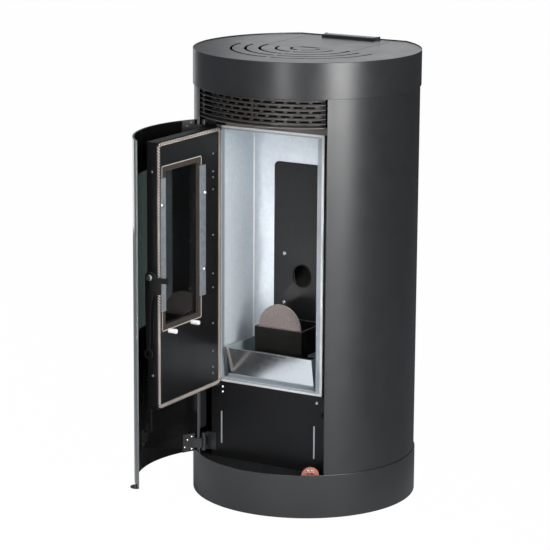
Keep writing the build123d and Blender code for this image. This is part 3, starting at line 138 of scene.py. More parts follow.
shade.data_type = "RGBA"
shade.inputs["A"].default_value = (0.18, 0.19, 0.20, 1.0)
shade.inputs["B"].default_value = (0.87, 0.89, 0.92, 1.0)
keep = tree.nodes.new("ShaderNodeMath")
keep.operation = "MULTIPLY"
keep.inputs[1].default_value = 0.99  # the rest shows the faint shadow
mixed = tree.nodes.new("ShaderNodeMixShader")
out = tree.nodes.new("ShaderNodeOutputMaterial")
tree.links.new(spot.outputs["Object"], toward.inputs[0])
tree.links.new(toward.outputs["Value"], ramp.inputs["Value"])
tree.links.new(ramp.outputs["Result"], shade.inputs["Factor"])
tree.links.new(shade.outputs["Result"], matt.inputs["Color"])
tree.links.new(seen_directly(tree), keep.inputs[0])
tree.links.new(keep.outputs[0], mixed.inputs["Fac"])
tree.links.new(matt.outputs[0], mixed.inputs[1])
tree.links.new(glow.outputs[0], mixed.inputs[2])
tree.links.new(mixed.outputs[0], out.inputs["Surface"])
floor.data.materials.append(floor_paint)

soft_boxes = (
    # name, azimuth from the front, distance, height, width, tall, radiance, aim height, beam spread
    ("box_right", 62.0, 3.2, 1.45, 1.30, 2.0, 15.0, 1.45, 180.0),
    ("box_front", 7.0, 3.4, 1.30, 0.70, 2.0, 6.5, 1.30, 180.0),
    ("box_rear_left", -126.0, 3.0, 1.0, 0.85, 2.0, 1.3, 1.0, 180.0),
    ("box_behind", 194.0, 3.6, 1.75, 2.6, 1.6, 0.95, 1.0, 180.0),
    ("box_top", 20.0, 1.0, 3.4, 2.2, 2.2, 2.3, 0.5, 180.0),
    ("box_firebox", -2.0, 2.6, 0.60, 0.16, 0.45, 1.7, 0.53, 9.0),
)
for name, azimuth, distance, height, wide, tall, radiance, aim, spread in soft_boxes:
    lamp_data = bpy.data.lights.new(name, "AREA")
    lamp_data.shape = "RECTANGLE"
    lamp_data.size = wide
    lamp_data.size_y = tall
    lamp_data.energy = radiance * pi * wide * tall
    lamp_data.spread = radians(spread)
    lamp = bpy.data.objects.new(name, lamp_data)
    lamp.location = (distance * sin(radians(azimuth)), -distance * cos(radians(azimuth)), height)
    lamp.rotation_euler = (Vector((0, 0, aim)) - lamp.location).to_track_quat("-Z", "Y").to_euler()
    scene.collection.objects.link(lamp)

# ---------------------------------------------------------------- deck and plinth
# Sheet steel, powder coated dark grey: the plinth band stands on the floor round the floor tray,
# and the deck that shows inside the open doors carries the works.
bump_depth = 0.0004
gloss_swing = 0.05
merge_gap = 0.00001  # corners nearer to each other than this are one


def coated(name, colour, roughness, grain, grain_size,
           mottle=0.12, metallic=0.0, gleam=0.5, patches=22.0):
    """Coated or bare sheet: soft mottle in colour and roughness, fine grain as bump."""
    material = bpy.data.materials.new(name)
    material.use_nodes = True
    tree = material.node_tree
    shader = tree.nodes["Principled BSDF"]
    shader.inputs["Metallic"].default_value = metallic
    shader.inputs["Specular IOR Level"].default_value = gleam
    place = tree.nodes.new("ShaderNodeTexCoord")
    cloud = tree.nodes.new("ShaderNodeTexNoise")
    cloud.inputs["Scale"].default_value = patches
    cloud.inputs["Detail"].default_value = 4.0
    tint = tree.nodes.new("ShaderNodeMix")
    tint.data_type = "RGBA"
    tint.inputs["A"].default_value = tuple(c * (1 - mottle) for c in colour) + (1.0,)
    tint.inputs["B"].default_value = tuple(min(1.0, c * (1 + mottle)) for c in colour) + (1.0,)
    gloss = tree.nodes.new("ShaderNodeMapRange")
    gloss.inputs["To Min"].default_value = roughness - gloss_swing
    gloss.inputs["To Max"].default_value = roughness + gloss_swing
    fine = tree.nodes.new("ShaderNodeTexNoise")
    fine.inputs["Scale"].default_value = 1.0 / grain_size
    fine.inputs["Detail"].default_value = 2.0
    bump = tree.nodes.new("ShaderNodeBump")
    bump.inputs["Strength"].default_value = grain
    bump.inputs["Distance"].default_value = bump_depth
    for noise in (cloud, fine):
        tree.links.new(place.outputs["Object"], noise.inputs["Vector"])
    tree.links.new(cloud.outputs["Fac"], tint.inputs["Factor"])
    tree.links.new(cloud.outputs["Fac"], gloss.inputs["Value"])
    tree.links.new(tint.outputs["Result"], shader.inputs["Base Color"])
    tree.links.new(gloss.outputs["Result"], shader.inputs["Roughness"])
    tree.links.new(fine.outputs["Fac"], bump.inputs["Height"])
    tree.links.new(bump.outputs["Normal"], shader.inputs["Normal"])
    return material


def finish_nodes(material, *names):
    """Give CAD nodes that stay as they are their finish."""
    for name in names:
        nodes[name].data.materials.clear()
        nodes[name].data.materials.append(material)


def pick(piece):
    """Make one object the only selected and active one."""
    bpy.ops.object.select_all(action="DESELECT")
    bpy.context.view_layer.objects.active = piece
    piece.select_set(True)


def soften(node, body, material, rounding):
    """The node's own sheet with its cut and folded edges rounded by a small bevel."""
    piece = bpy.data.objects.new("soft_" + node, nodes[node].data.copy())
    scene.collection.objects.link(piece)
    piece.data.materials.clear()
    piece.data.materials.append(material)
    pick(piece)
    bpy.ops.mesh.customdata_custom_splitnormals_clear()
    bpy.ops.object.mode_set(mode="EDIT")
    bpy.ops.mesh.select_all(action="SELECT")
    bpy.ops.mesh.remove_doubles(threshold=merge_gap)
    bpy.ops.object.mode_set(mode="OBJECT")
    edges = piece.modifiers.new("edges", "BEVEL")
    edges.width = rounding
    edges.segments = 2
    edges.limit_method = "ANGLE"
    edges.angle_limit = radians(35)
    edges.use_clamp_overlap = False
    bpy.ops.object.modifier_apply(modifier="edges")
    bpy.ops.object.shade_smooth_by_angle(angle=radians(17))
    for face in piece.data.polygons:
        if abs(face.normal.z) > 0.9999:  # level faces stay flat beside their bevels
            face.use_smooth = False
    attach(piece, body)
    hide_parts(node)
    return piece


powder_coat = coated("grey_powder_coat", (0.016, 0.016, 0.017), roughness=0.33, grain=0.20,
                     grain_size=0.0012, gleam=0.72)
finish_nodes(powder_coat, "deck_plate")
soften("plinth_ring", "stove", powder_coat, rounding=0.0006)

# ---------------------------------------------------------------- galvanised inner works
# Firebox, hopper, ducts, brackets, floor tray and rear panel, all of bare zinc-coated sheet: flat
# crystals of slightly different tone and gloss over a soft mottle.


def galvanised(name, colour, roughness, spangle=0.10, metallic=0.55, spread=0.05, grain=0.08):
    """Zinc-coated sheet: one tone and gloss per crystal, a slow mottle and a fine grain."""
    material = bpy.data.materials.new(name)
    material.use_nodes = True
    tree = material.node_tree
    shader = tree.nodes["Principled BSDF"]
    shader.inputs["Metallic"].default_value = metallic
    place = tree.nodes.new("ShaderNodeTexCoord")
    crystal = tree.nodes.new("ShaderNodeTexVoronoi")
    crystal.inputs["Scale"].default_value = 120.0
    warp = tree.nodes.new("ShaderNodeTexNoise")
    warp.inputs["Scale"].default_value = 9.0
    warp.inputs["Detail"].default_value = 3.0
    tone = tree.nodes.new("ShaderNodeSeparateColor")
    blend = tree.nodes.new("ShaderNodeMix")
    blend.data_type = "FLOAT"
    blend.inputs["Factor"].default_value = 0.5
    tint = tree.nodes.new("ShaderNodeMix")
    tint.data_type = "RGBA"
    tint.inputs["A"].default_value = tuple(c * (1 - spangle) for c in colour) + (1.0,)
    tint.inputs["B"].default_value = tuple(min(1.0, c * (1 + spangle)) for c in colour) + (1.0,)
    gloss = tree.nodes.new("ShaderNodeMapRange")
    gloss.inputs["To Min"].default_value = roughness - spread
    gloss.inputs["To Max"].default_value = roughness + spread
    fine = tree.nodes.new("ShaderNodeTexNoise")
    fine.inputs["Scale"].default_value = 500.0
    bump = tree.nodes.new("ShaderNodeBump")
    bump.inputs["Strength"].default_value = grain
    bump.inputs["Distance"].default_value = 0.0003
    for texture in (crystal, warp, fine):
        tree.links.new(place.outputs["Object"], texture.inputs["Vector"])
    tree.links.new(crystal.outputs["Color"], tone.inputs["Color"])
    tree.links.new(tone.outputs["Red"], blend.inputs["A"])
    tree.links.new(warp.outputs["Fac"], blend.inputs["B"])
    tree.links.new(blend.outputs["Result"], tint.inputs["Factor"])
    tree.links.new(tone.outputs["Green"], gloss.inputs["Value"])
    tree.links.new(tint.outputs["Result"], shader.inputs["Base Color"])
    tree.links.new(gloss.outputs["Result"], shader.inputs["Roughness"])
    tree.links.new(fine.outputs["Fac"], bump.inputs["Height"])
    tree.links.new(bump.outputs["Normal"], shader.inputs["Normal"])
    return material


zinc = galvanised("galvanised_sheet", (0.61, 0.655, 0.69), roughness=0.54, spangle=0.07,
                  metallic=0.3, spread=0.03)
finish_nodes(zinc, "firebox", "baffle", "base_plate", "rear_panel", "hopper", "feed_funnel",
             "smoke_fan_housing", "smoke_duct", "flue_spigot", "air_intake", "room_fan_housing",
             "board_bracket", "pot_shelf", "firebox_stand")

# ---------------------------------------------------------------- front frame and back plate
# The bright folded frame that the rope seals on, with its recessed fold and lip painted darker as
# shade, the corner seams painted light as highlights of the bends, and the black plate screwed to
# the rear wall with the rounder hole that the photograph shows.
rim_zinc = galvanised("frame_rim_sheet", (0.80, 0.79, 0.76), roughness=0.34, spangle=0.04,
                      metallic=0.5, spread=0.02, grain=0.04)
seam_highlight_zinc = galvanised("seam_highlight_sheet", (0.93, 0.94, 0.93), roughness=0.5, spangle=0.02, metallic=0.1,
                       spread=0.02, grain=0.02)
# painted shade: the frame's recessed fold and lip get a darker, bluish copy of the frame's zinc
fold_shade_zinc = galvanised("frame_fold_shade_sheet", (0.34, 0.38, 0.42), roughness=0.45, spangle=0.06,
                       metallic=0.45, spread=0.02, grain=0.02)
frame_lo, frame_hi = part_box("firebox_frame")
frame_middle = (frame_lo.z + frame_hi.z) / 2
front_frame = bmesh.new()
for outer, inner, front, back, sheet in (
    # half width and half height outside, the same inside, front and back face, material
    ((0.1390, 0.2920), (0.1330, 0.2875), frame_lo.y, frame_lo.y + 0.0030, 0),
    ((0.1352, 0.2895), (0.1220, 0.2830), frame_lo.y + 0.0018, frame_lo.y + 0.0036, 1),
    ((0.1240, 0.2850), (0.1222, 0.2832), frame_lo.y + 0.0036, frame_hi.y, 1),
):
    rings = []
    for depth in (front, back):
        for half_x, half_z in (outer, inner):
            rings.append([front_frame.verts.new((half_x * sx, depth, frame_middle + half_z * sz))
                          for sx, sz in ((-1, -1), (1, -1), (1, 1), (-1, 1))])
    for first_ring, second_ring in ((0, 1), (1, 3), (3, 2), (2, 0)):
        for k in range(4):
            after = (k + 1) % 4
            face = front_frame.faces.new((rings[first_ring][k], rings[first_ring][after],
                                          rings[second_ring][after], rings[second_ring][k]))
            face.material_index = sheet
bmesh.ops.recalc_face_normals(front_frame, faces=front_frame.faces)
bmesh.ops.bevel(front_frame, geom=front_frame.edges, offset=0.0004, segments=2, affect="EDGES")
frame_data = bpy.data.meshes.new("firebox_front_frame")
front_frame.to_mesh(frame_data)
front_frame.free()
frame_piece = bpy.data.objects.new("firebox_front_frame", frame_data)
scene.collection.objects.link(frame_piece)
frame_data.materials.append(rim_zinc)
frame_data.materials.append(fold_shade_zinc)
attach(frame_piece, "stove")
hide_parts("firebox_frame")

# painted highlight: the corner seams are strips whose near-white colour stands for the bright lines
# of the bends
seam_radius, seam_height = 0.0026, 0.535
seam_x, seam_y, seam_z = 0.1282, -0.0142, 0.560
for side in (-1, 1):
    bpy.ops.object.select_all(action="DESELECT")
    bpy.ops.mesh.primitive_cylinder_add(vertices=4, radius=seam_radius, depth=seam_height,
                                        location=(seam_x * side, seam_y, seam_z))
    seam = bpy.context.object
    seam.name = "firebox_seam_left" if side < 0 else "firebox_seam_right"
    bpy.ops.object.transform_apply(location=True, rotation=True, scale=True)
    bpy.ops.object.mode_set(mode="EDIT")
    bpy.ops.mesh.select_all(action="SELECT")
    bpy.ops.mesh.bevel(offset=0.0003, segments=1, affect="EDGES")
    bpy.ops.object.mode_set(mode="OBJECT")
    bpy.ops.object.shade_smooth_by_angle(angle=radians(45))
    seam.data.materials.append(seam_highlight_zinc)
    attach(seam, "stove")

black_paint = coated("black_paint", (0.006, 0.006, 0.0065), roughness=0.36, grain=0.20,
                     grain_size=0.0010, gleam=0.26)
plate_paint = coated("back_plate_paint", (0.017, 0.017, 0.018), roughness=0.5, grain=0.20,
                     grain_size=0.0010, gleam=0.12)
plate = soften("back_plate", "stove", plate_paint, rounding=0.0006)
chute_z = 0.495
hole_half_wide, hole_half_tall, hole_squash = 0.030, 0.040, 0.78
for vert in plate.data.vertices:
    rise = vert.co.z - chute_z
    if abs(vert.co.x) < hole_half_wide and abs(rise) < hole_half_tall:
        vert.co.z = chute_z + rise * hole_squash

# ---------------------------------------------------------------- pellet burning pot
# Cast iron pot with the arched flame plate in its front; the chute drops pellets in from the wall,
# and a dark ring round its mouth covers the lit inside of the chute as painted shade.
fire_iron = coated("fire_iron", (0.006, 0.006, 0.005), roughness=0.6, grain=0.6, grain_size=0.0020,
                   mottle=0.3, gleam=0.05)
pot = soften("burn_pot", "burn_pot", fire_iron, rounding=0.0009)
highlight_iron = coated("iron_rim_highlight", (0.11, 0.085, 0.070), roughness=0.5, grain=0.6,
                   grain_size=0.0016, mottle=0.4)
pot.data.materials.append(highlight_iron)
# painted highlight: the faces at the pot's top edge get a lighter iron
pot_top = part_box("burn_pot")[1].z
pot_rim = 0.0010
for face in pot.data.polygons:
    if face.center.z > pot_top - pot_rim:
        face.material_index = 1
soften("chute", "stove", fire_iron, rounding=0.0006)
# painted shade: a dark ring of the chute's iron round its mouth covers the lit inside of the chute
mouth_y, mouth_stretch = -0.0155, 1.143
bpy.ops.object.select_all(action="DESELECT")
bpy.ops.mesh.primitive_torus_add(major_radius=0.0226, minor_radius=0.0013,
                                 major_segments=64, minor_segments=12,
                                 location=(0, mouth_y, chute_z), rotation=(pi / 2, 0, 0))
mouth = bpy.context.object
mouth.name = "chute_mouth_shade_ring"
mouth.scale = (1, mouth_stretch, 1)
bpy.ops.object.transform_apply(location=True, rotation=True, scale=True)
bpy.ops.object.shade_smooth()
mouth.data.materials.append(fire_iron)
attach(mouth, "stove")
flame_steel = coated("flame_plate_steel", (0.140, 0.116, 0.114), roughness=0.5, grain=0.45,
                     grain_size=0.0016, mottle=0.62, metallic=0.5, patches=420.0)
flame_plate = soften("burn_pot_plate", "flame_plate", flame_steel,
                     rounding=0.0006)
flame_edge = coated("flame_plate_edge", (0.30, 0.27, 0.265), roughness=0.45, grain=0.45,
                    grain_size=0.0016, mottle=0.3)
flame_plate.data.materials.append(flame_edge)
for face in flame_plate.data.polygons:
    if abs(face.normal.y) < 0.9:  # the cut edge
        face.material_index = 1
finish_nodes(fire_iron, "auger_tube")

# ---------------------------------------------------------------- ash pan
# Folded from smooth bright sheet, so its front mirrors the open door beside it and the floor;
# the inside is duller and the top edge is painted light as a highlight.
pan_zinc = galvanised("pan_sheet", (0.88, 0.91, 0.93), roughness=0.15, spangle=0.03, metallic=1.0,
                      spread=0.012, grain=0.02)
pan = soften("ash_pan", "ash_pan", pan_zinc, rounding=0.0006)
pan_inside = galvanised("pan_inside_sheet", (0.34, 0.40, 0.41), roughness=0.5, spangle=0.10,
                        metallic=0.3, spread=0.03)
pan.data.materials.append(pan_inside)
pan.data.materials.append(rim_zinc)
# painted highlight: the faces along the pan's top edge get the lighter frame zinc
pan_highlight_band = 0.0012
pan_lo, pan_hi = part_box("ash_pan")
pan_middle = (pan_lo + pan_hi) / 2
for face in pan.data.polygons:
    if face.center.z > pan_hi.z - pan_highlight_band:
        face.material_index = 2
    elif face.normal.dot(pan_middle - face.center) > 0.01:  # looks inwards
        face.material_index = 1

# ---------------------------------------------------------------- casing panels and lower front
# Two curved enamelled side sheets that stand between plinth and cap ring, and the black upright
# sheet below the firebox with its two long slots.
casing_enamel = coated("casing_enamel", (0.015, 0.015, 0.016), roughness=0.33, grain=0.10,
                       grain_size=0.0012, gleam=0.72)
soften("left_side_panel", "stove", casing_enamel, rounding=0.0005)
soften("right_side_panel", "stove", casing_enamel, rounding=0.0005)
soften("lower_front_panel", "stove", black_paint, rounding=0.0004)

# ---------------------------------------------------------------- louvred air grille
# Six curved bars over a perforated sheet, both painted and a little brown from the heat, with a
# black liner behind as painted shade, so that the slots read dark. The sheet's slot rows are
# moved into line with the gaps between the bars.
grille_paint = coated("grille_paint", (0.055, 0.050, 0.047), roughness=0.27, grain=0.20,
                      grain_size=0.0010, mottle=0.25, gleam=0.7)
bars = soften("air_grille", "stove", grille_paint, rounding=0.0005)
mesh_paint = coated("grille_back_paint", (0.105, 0.094, 0.088), roughness=0.42, grain=0.20,
                    grain_size=0.0010, mottle=0.35, gleam=0.7)
perforated = soften("grille_back", "stove", mesh_paint, rounding=0.0002)
rows_low, rows_top = 0.8830, 0.9367
cad_row, gap_row, row_squash = 0.8860, 0.8824, 0.8500
for vert in perforated.data.vertices:
    if rows_low < vert.co.z < rows_top:
        vert.co.z = gap_row + (vert.co.z - cad_row) * row_squash
for piece, reach in ((bars, 0.1550), (perforated, 0.1530)):  # cut back from the right casing edge
    pick(piece)
    bpy.ops.object.mode_set(mode="EDIT")
    bpy.ops.mesh.select_all(action="SELECT")
    bpy.ops.mesh.bisect(plane_co=(reach, 0, 0), plane_no=(1, 0, 0), clear_outer=True, use_fill=True)
    bpy.ops.object.mode_set(mode="OBJECT")

# painted shade: a black sheet behind the perforated sheet, so that its slots read dark
bpy.ops.object.select_all(action="DESELECT")
bpy.ops.mesh.primitive_cylinder_add(vertices=180, radius=0.2150, depth=0.0640,
                                    location=(0, 0, 0.9065), end_fill_type="NOTHING")
liner = bpy.context.object
liner.name = "grille_shade_liner"
bpy.ops.object.transform_apply(location=True, rotation=True, scale=True)
bpy.ops.object.mode_set(mode="EDIT")
for liner_end, facing in ((radians(46), 1), (radians(-33), -1)):
    bpy.ops.mesh.select_all(action="SELECT")
    bpy.ops.mesh.bisect(plane_co=(0, 0, 0), clear_outer=True,
                        plane_no=(facing * cos(liner_end), facing * sin(liner_end), 0))
bpy.ops.object.mode_set(mode="OBJECT")
sheet = liner.modifiers.new("sheet", "SOLIDIFY")
sheet.thickness = 0.0008
bpy.ops.object.modifier_apply(modifier="sheet")
bpy.ops.object.shade_smooth_by_angle(angle=curve_angle)
liner.data.materials.append(fire_iron)
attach(liner, "stove")

# ---------------------------------------------------------------- top ring, top plate and lid
# The sheet cap ring, the slotted plate that lies in it and the hopper lid with its hinge bar, all
# powder coated in the dark grey of the plinth.
soften("top_ring", "stove", powder_coat, rounding=0.0007)
soften("top_plate", "stove", powder_coat, rounding=0.0005)
soften("hopper_lid", "lid", powder_coat, rounding=0.0006)
finish_nodes(powder_coat, "lid_hinge_bar")

# ---------------------------------------------------------------- door catch
# Brown plastic catch block that stands on the deck, with four bright contacts that meet the
# strike strip of the closed outer door.
catch_plastic = coated("catch_plastic", (0.36, 0.13, 0.09), roughness=0.45, grain=0.3,
                       grain_size=0.0015)
soften("magnetic_catch", "stove", catch_plastic, rounding=0.0008)
bright_steel = coated("bright_steel", (0.80, 0.80, 0.80), roughness=0.22, grain=0.05,
                      grain_size=0.0010, mottle=0.05, metallic=1.0)
catch_turn = radians(33)
catch_out = Vector((sin(catch_turn), -cos(catch_turn), 0))
catch_along = Vector((-catch_out.y, catch_out.x, 0))
catch_face = Vector((0.13126, -0.20212, 0.1033)) + catch_out * 0.0013
half_across, half_between = 0.0045, 0.0035
contact_size = (0.0066, 0.0016, 0.0036)
for row in (-1, 1):
    for side in (-1, 1):
        seat = catch_face + catch_along * (half_across * side) + Vector((0, 0, half_between * row))
        bpy.ops.object.select_all(action="DESELECT")
        bpy.ops.mesh.primitive_cube_add(size=1, location=seat, rotation=(0, 0, catch_turn))
        contact = bpy.context.object
        contact.name = (f"catch_contact_{'low' if row < 0 else 'high'}"
                        f"_{'left' if side < 0 else 'right'}")
        contact.scale = contact_size
        bpy.ops.object.transform_apply(location=True, rotation=True, scale=True)
        bpy.ops.object.mode_set(mode="EDIT")
        bpy.ops.mesh.bevel(offset=0.0004, segments=2, affect="EDGES")
        bpy.ops.object.mode_set(mode="OBJECT")
        contact.data.materials.append(bright_steel)
        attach(contact, "stove")

# ---------------------------------------------------------------- screws of the casing
# Bright steel screws with a domed head and a cross recess. The head is modelled once and copied
# to the seat of every screw of the CAD, here and on the doors.
cross_turn = 20
bpy.ops.object.select_all(action="DESELECT")
bpy.ops.mesh.primitive_uv_sphere_add(segments=28, ring_count=14, radius=1.0)
pattern_head = bpy.context.object
bpy.ops.object.mode_set(mode="EDIT")
bpy.ops.mesh.select_all(action="SELECT")
bpy.ops.mesh.bisect(plane_co=(0, 0, 0.02), plane_no=(0, 0, 1), clear_inner=True, use_fill=True)
bpy.ops.object.mode_set(mode="OBJECT")
for quarter in (0, 90):
    bpy.ops.mesh.primitive_cube_add(size=1, location=(0, 0, 1.0),
                                    rotation=(0, 0, radians(quarter + cross_turn)))
    punch = bpy.context.object
    punch.scale = (1.25, 0.24, 1.0)
    recess = pattern_head.modifiers.new("recess", "BOOLEAN")
    recess.object = punch
    recess.operation = "DIFFERENCE"
    pick(pattern_head)
    bpy.ops.object.modifier_apply(modifier="recess")
    bpy.data.objects.remove(punch)


def seats(node):
    """Lowest and highest corner of each loose screw of a CAD node, sorted by place."""
    shell = bmesh.new()
    shell.from_mesh(nodes[node].data)
    bmesh.ops.remove_doubles(shell, verts=shell.verts, dist=merge_gap)
    left = set(shell.verts)
    found = []
    while left:
        stack = [left.pop()]
        part = []
        while stack:
            vert = stack.pop()
            part.append(vert.co.copy())
            for edge in vert.link_edges:
                other = edge.other_vert(vert)
                if other in left:
                    left.remove(other)
                    stack.append(other)
        found.append((Vector([min(p[i] for p in part) for i in range(3)]),
                      Vector([max(p[i] for p in part) for i in range(3)])))
    shell.free()
    return sorted(found, key=lambda corners: [round(place, 4) for place in corners[0]])


def place_heads(name, node, body, heads, metal):
    """One object of screw heads: (foot, facing, radius, rise) each."""
    made = bmesh.new()
    for foot, facing, radius, rise in heads:
        turn = facing.to_track_quat("Z", "Y").to_matrix().to_4x4()
        copy = pattern_head.data.copy()
        copy.transform(Matrix.Translation(foot) @ turn @ Matrix.Diagonal((radius, radius, rise, 1)))
        made.from_mesh(copy)
        bpy.data.meshes.remove(copy)
    data = bpy.data.meshes.new(name)
    made.to_mesh(data)
    made.free()
    data.materials.append(metal)
    piece = bpy.data.objects.new(name, data)
    scene.collection.objects.link(piece)
    pick(piece)
    bpy.ops.object.shade_smooth_by_angle(angle=radians(35))
    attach(piece, body)
    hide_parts(node)
    return piece


head_rise = 0.0028
heads = [(Vector(((lo.x + hi.x) / 2, hi.y, (lo.z + hi.z) / 2)), Vector((0, -1, 0)),
          (hi.z - lo.z) / 2, head_rise) for lo, hi in seats("casing_screws")]
place_heads("casing_screw_heads", "casing_screws", "stove", heads, bright_steel)

# ---------------------------------------------------------------- inner fire door
# One pressed black sheet with a groove for the rope and a recess for the window; bright screws
# hold the glass strips, and small dull ones sit along the edges.
soften("inner_door", "inner_door", black_paint, rounding=0.0009)
door_seats = seats("door_screws")
heads = []
head_depth = 0.004  # a screw is a head alone where it is no longer than this
small_radius = 0.004
for lo, hi in door_seats:
    middle = (lo + hi) / 2
    size = hi - lo
    if size.x < head_depth:
        heads.append((Vector((lo.x, middle.y, middle.z)), Vector((1, 0, 0)), size.z / 2, size.x))
    elif size.y < head_depth:
        heads.append((Vector((middle.x, hi.y, middle.z)), Vector((0, -1, 0)), size.z / 2, size.y))
dull_steel = coated("dull_steel", (0.26, 0.26, 0.27), roughness=0.4, grain=0.2, grain_size=0.0010,
                    mottle=0.2, metallic=1.0)
place_heads("strip_screw_heads", "door_screws", "inner_door",
            [h for h in heads if h[2] > small_radius], bright_steel)
place_heads("door_screw_heads", "door_screws", "inner_door",
            [h for h in heads if h[2] < small_radius], dull_steel)

# ---------------------------------------------------------------- door rope
# Braided glass-fibre rope laid in the door's groove, where it seals on the front frame: light and
# browned yarns wind both ways over a dark core, which is painted shade in the gaps of the braid.
rope_lo, rope_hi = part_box("door_gasket")
half_wide = 0.00435
half_deep = (rope_hi.x - rope_lo.x) / 2
rope_x = (rope_hi.x + rope_lo.x) / 2
corner = 0.008  # bend radius of the rope's centre line
yarn_inset = 0.0006


def rope_line(spacing):
    """Points and in-plane normals along the rounded rectangle that the rope follows."""
    y0, y1 = rope_lo.y + half_wide, rope_hi.y - half_wide
    z0, z1 = rope_lo.z + half_wide, rope_hi.z - half_wide
    runs = (((y0 + corner, z0), (y1 - corner, z0), -90), ((y1, z0 + corner), (y1, z1 - corner), 0),
            ((y1 - corner, z1), (y0 + corner, z1), 90), ((y0, z1 - corner), (y0, z0 + corner), 180))
    found = []
    for (ya, za), (yb, zb), turn in runs:
        steps = int(max(abs(yb - ya), abs(zb - za)) / spacing)
        out = (cos(radians(turn)), sin(radians(turn)))
        for i in range(steps):
            t = i / steps
            found.append(((ya + (yb - ya) * t, za + (zb - za) * t), out))
        centre = (yb - corner * out[0], zb - corner * out[1])
        bend = int(corner * pi / 2 / spacing)
        for i in range(bend):
            angle = radians(turn) + pi / 2 * i / bend
            out_i = (cos(angle), sin(angle))
            found.append(((centre[0] + corner * out_i[0], centre[1] + corner * out_i[1]), out_i))
    return found


line = rope_line(0.0010)
rope_mesh = bmesh.new()


def sweep(section, yarn):
    """Close a tube along the rope; section(i) gives its angles and lifts at point i."""
    rings = []
    for i, ((y, z), (oy, oz)) in enumerate(line):
        ring = []
        for angle, lift in section(i):
            side = cos(angle) * lift * (half_wide - yarn_inset)
            deep = sin(angle) * lift * (half_deep - yarn_inset)
            ring.append(rope_mesh.verts.new((rope_x + deep, y + oy * side, z + oz * side)))
        rings.append(ring)
    for i, ring in enumerate(rings):
        after = rings[(i + 1) % len(rings)]
        for k in range(len(ring)):
            after_k = (k + 1) % len(ring)
            face = rope_mesh.faces.new((ring[k], ring[after_k], after[after_k], after[k]))
            face.material_index = yarn


strands = 4
twist_points = 13  # points along the rope to one turn of a strand
twists = round(len(line) / twist_points)
core_sides, core_lift = 12, 0.82
yarn_lift, yarn_weave, yarn_turn = 0.94, 0.07, 0.50
yarn_edge, yarn_crown, yarn_back = -0.05, 0.12, -0.16
# the core gets the browned yarn as painted shade in the gaps of the braid
sweep(lambda i: [(2 * pi * k / core_sides, core_lift) for k in range(core_sides)], 1)
for way in (1, -1):
    for strand in range(strands):
        def ribbon(i):
            wind = 2 * pi * twists * i / len(line)
            angle = way * wind + 2 * pi * strand / strands
            weave = yarn_lift + yarn_weave * way * sin(wind * strands + 2 * pi * strand / 2)
            return ((angle + yarn_turn, weave + yarn_edge), (angle, weave + yarn_crown),
                    (angle - yarn_turn, weave + yarn_edge), (angle, weave + yarn_back))
        sweep(ribbon, strand % 2)
bmesh.ops.recalc_face_normals(rope_mesh, faces=rope_mesh.faces)
rope_data = bpy.data.meshes.new("door_rope")
rope_mesh.to_mesh(rope_data)
rope_mesh.free()
rope_data.shade_smooth()
door_rope = bpy.data.objects.new("door_rope", rope_data)
scene.collection.objects.link(door_rope)
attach(door_rope, "inner_door")
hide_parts("door_gasket")
light_yarn = coated("light_yarn", (0.64, 0.55, 0.51), roughness=0.8, grain=0.8, grain_size=0.0008,
                    mottle=0.45)
browned_yarn_and_gap_shade = coated("browned_yarn_and_gap_shade", (0.030, 0.021, 0.018), roughness=0.8, grain=0.8,
                      grain_size=0.0008, mottle=0.5)
door_rope.data.materials.append(light_yarn)
door_rope.data.materials.append(browned_yarn_and_gap_shade)

# ---------------------------------------------------------------- door window
# Clear ceramic glass on a brown woven tape, held by two galvanised strips that are screwed to the
# door; a thin light cord runs round the tape.
clear_glass = bpy.data.materials.new("clear_glass")
clear_glass.use_nodes = True
tree = clear_glass.node_tree
shader = tree.nodes["Principled BSDF"]
shader.inputs["Base Color"].default_value = (0.78, 0.84, 0.84, 1.0)
shader.inputs["Roughness"].default_value = 0.03
shader.inputs["Transmission Weight"].default_value = 1.0
shader.inputs["IOR"].default_value = 1.55
finish_nodes(clear_glass, "door_glass")
tape = coated("glass_tape_and_lid_gap_shade", (0.030, 0.022, 0.017), roughness=0.85, grain=1.0, grain_size=0.0016,
              mottle=0.35)
# the lid's seal gets the same dark tape as painted shade in the gap under the lid
finish_nodes(tape, "glass_gasket", "lid_seal")
strip_zinc = galvanised("strip_sheet", (0.44, 0.47, 0.50), roughness=0.36, spangle=0.22,
                        metallic=0.7)
soften("glass_strips", "inner_door", strip_zinc, rounding=0.0003)

tape_lo, tape_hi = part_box("glass_gasket")
tape_middle = (tape_lo + tape_hi) / 2
tape_size = tape_hi - tape_lo
bead = 0.0012  # radius of the cord
cord_inset = 2.6 * bead
cord_sunk = 0.0004
bpy.ops.object.select_all(action="DESELECT")
bpy.ops.mesh.primitive_plane_add(size=1, rotation=(0, pi / 2, 0),
                                 location=(tape_hi.x - cord_sunk, tape_middle.y, tape_middle.z))
tape_cord = bpy.context.object
tape_cord.name = "window_cord"
tape_cord.scale = (tape_size.z - cord_inset, tape_size.y - cord_inset, 1)
bpy.ops.object.transform_apply(location=True, rotation=True, scale=True)
bpy.ops.object.mode_set(mode="EDIT")
bpy.ops.mesh.select_all(action="SELECT")
bpy.ops.mesh.delete(type="ONLY_FACE")
bpy.ops.mesh.select_all(action="SELECT")
bpy.ops.mesh.bevel(offset=0.004, segments=4, affect="VERTICES")
bpy.ops.object.mode_set(mode="OBJECT")
bpy.ops.object.convert(target="CURVE")
tape_cord.data.bevel_depth = bead
tape_cord.data.bevel_resolution = 2
bpy.ops.object.convert(target="MESH")
tape_cord = bpy.context.object
tape_cord.data.shade_smooth()
cord_yarn = coated("cord_yarn", (0.40, 0.36, 0.32), roughness=0.8, grain=0.6, grain_size=0.0010,
                   mottle=0.4)
tape_cord.data.materials.append(cord_yarn)
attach(tape_cord, "inner_door")

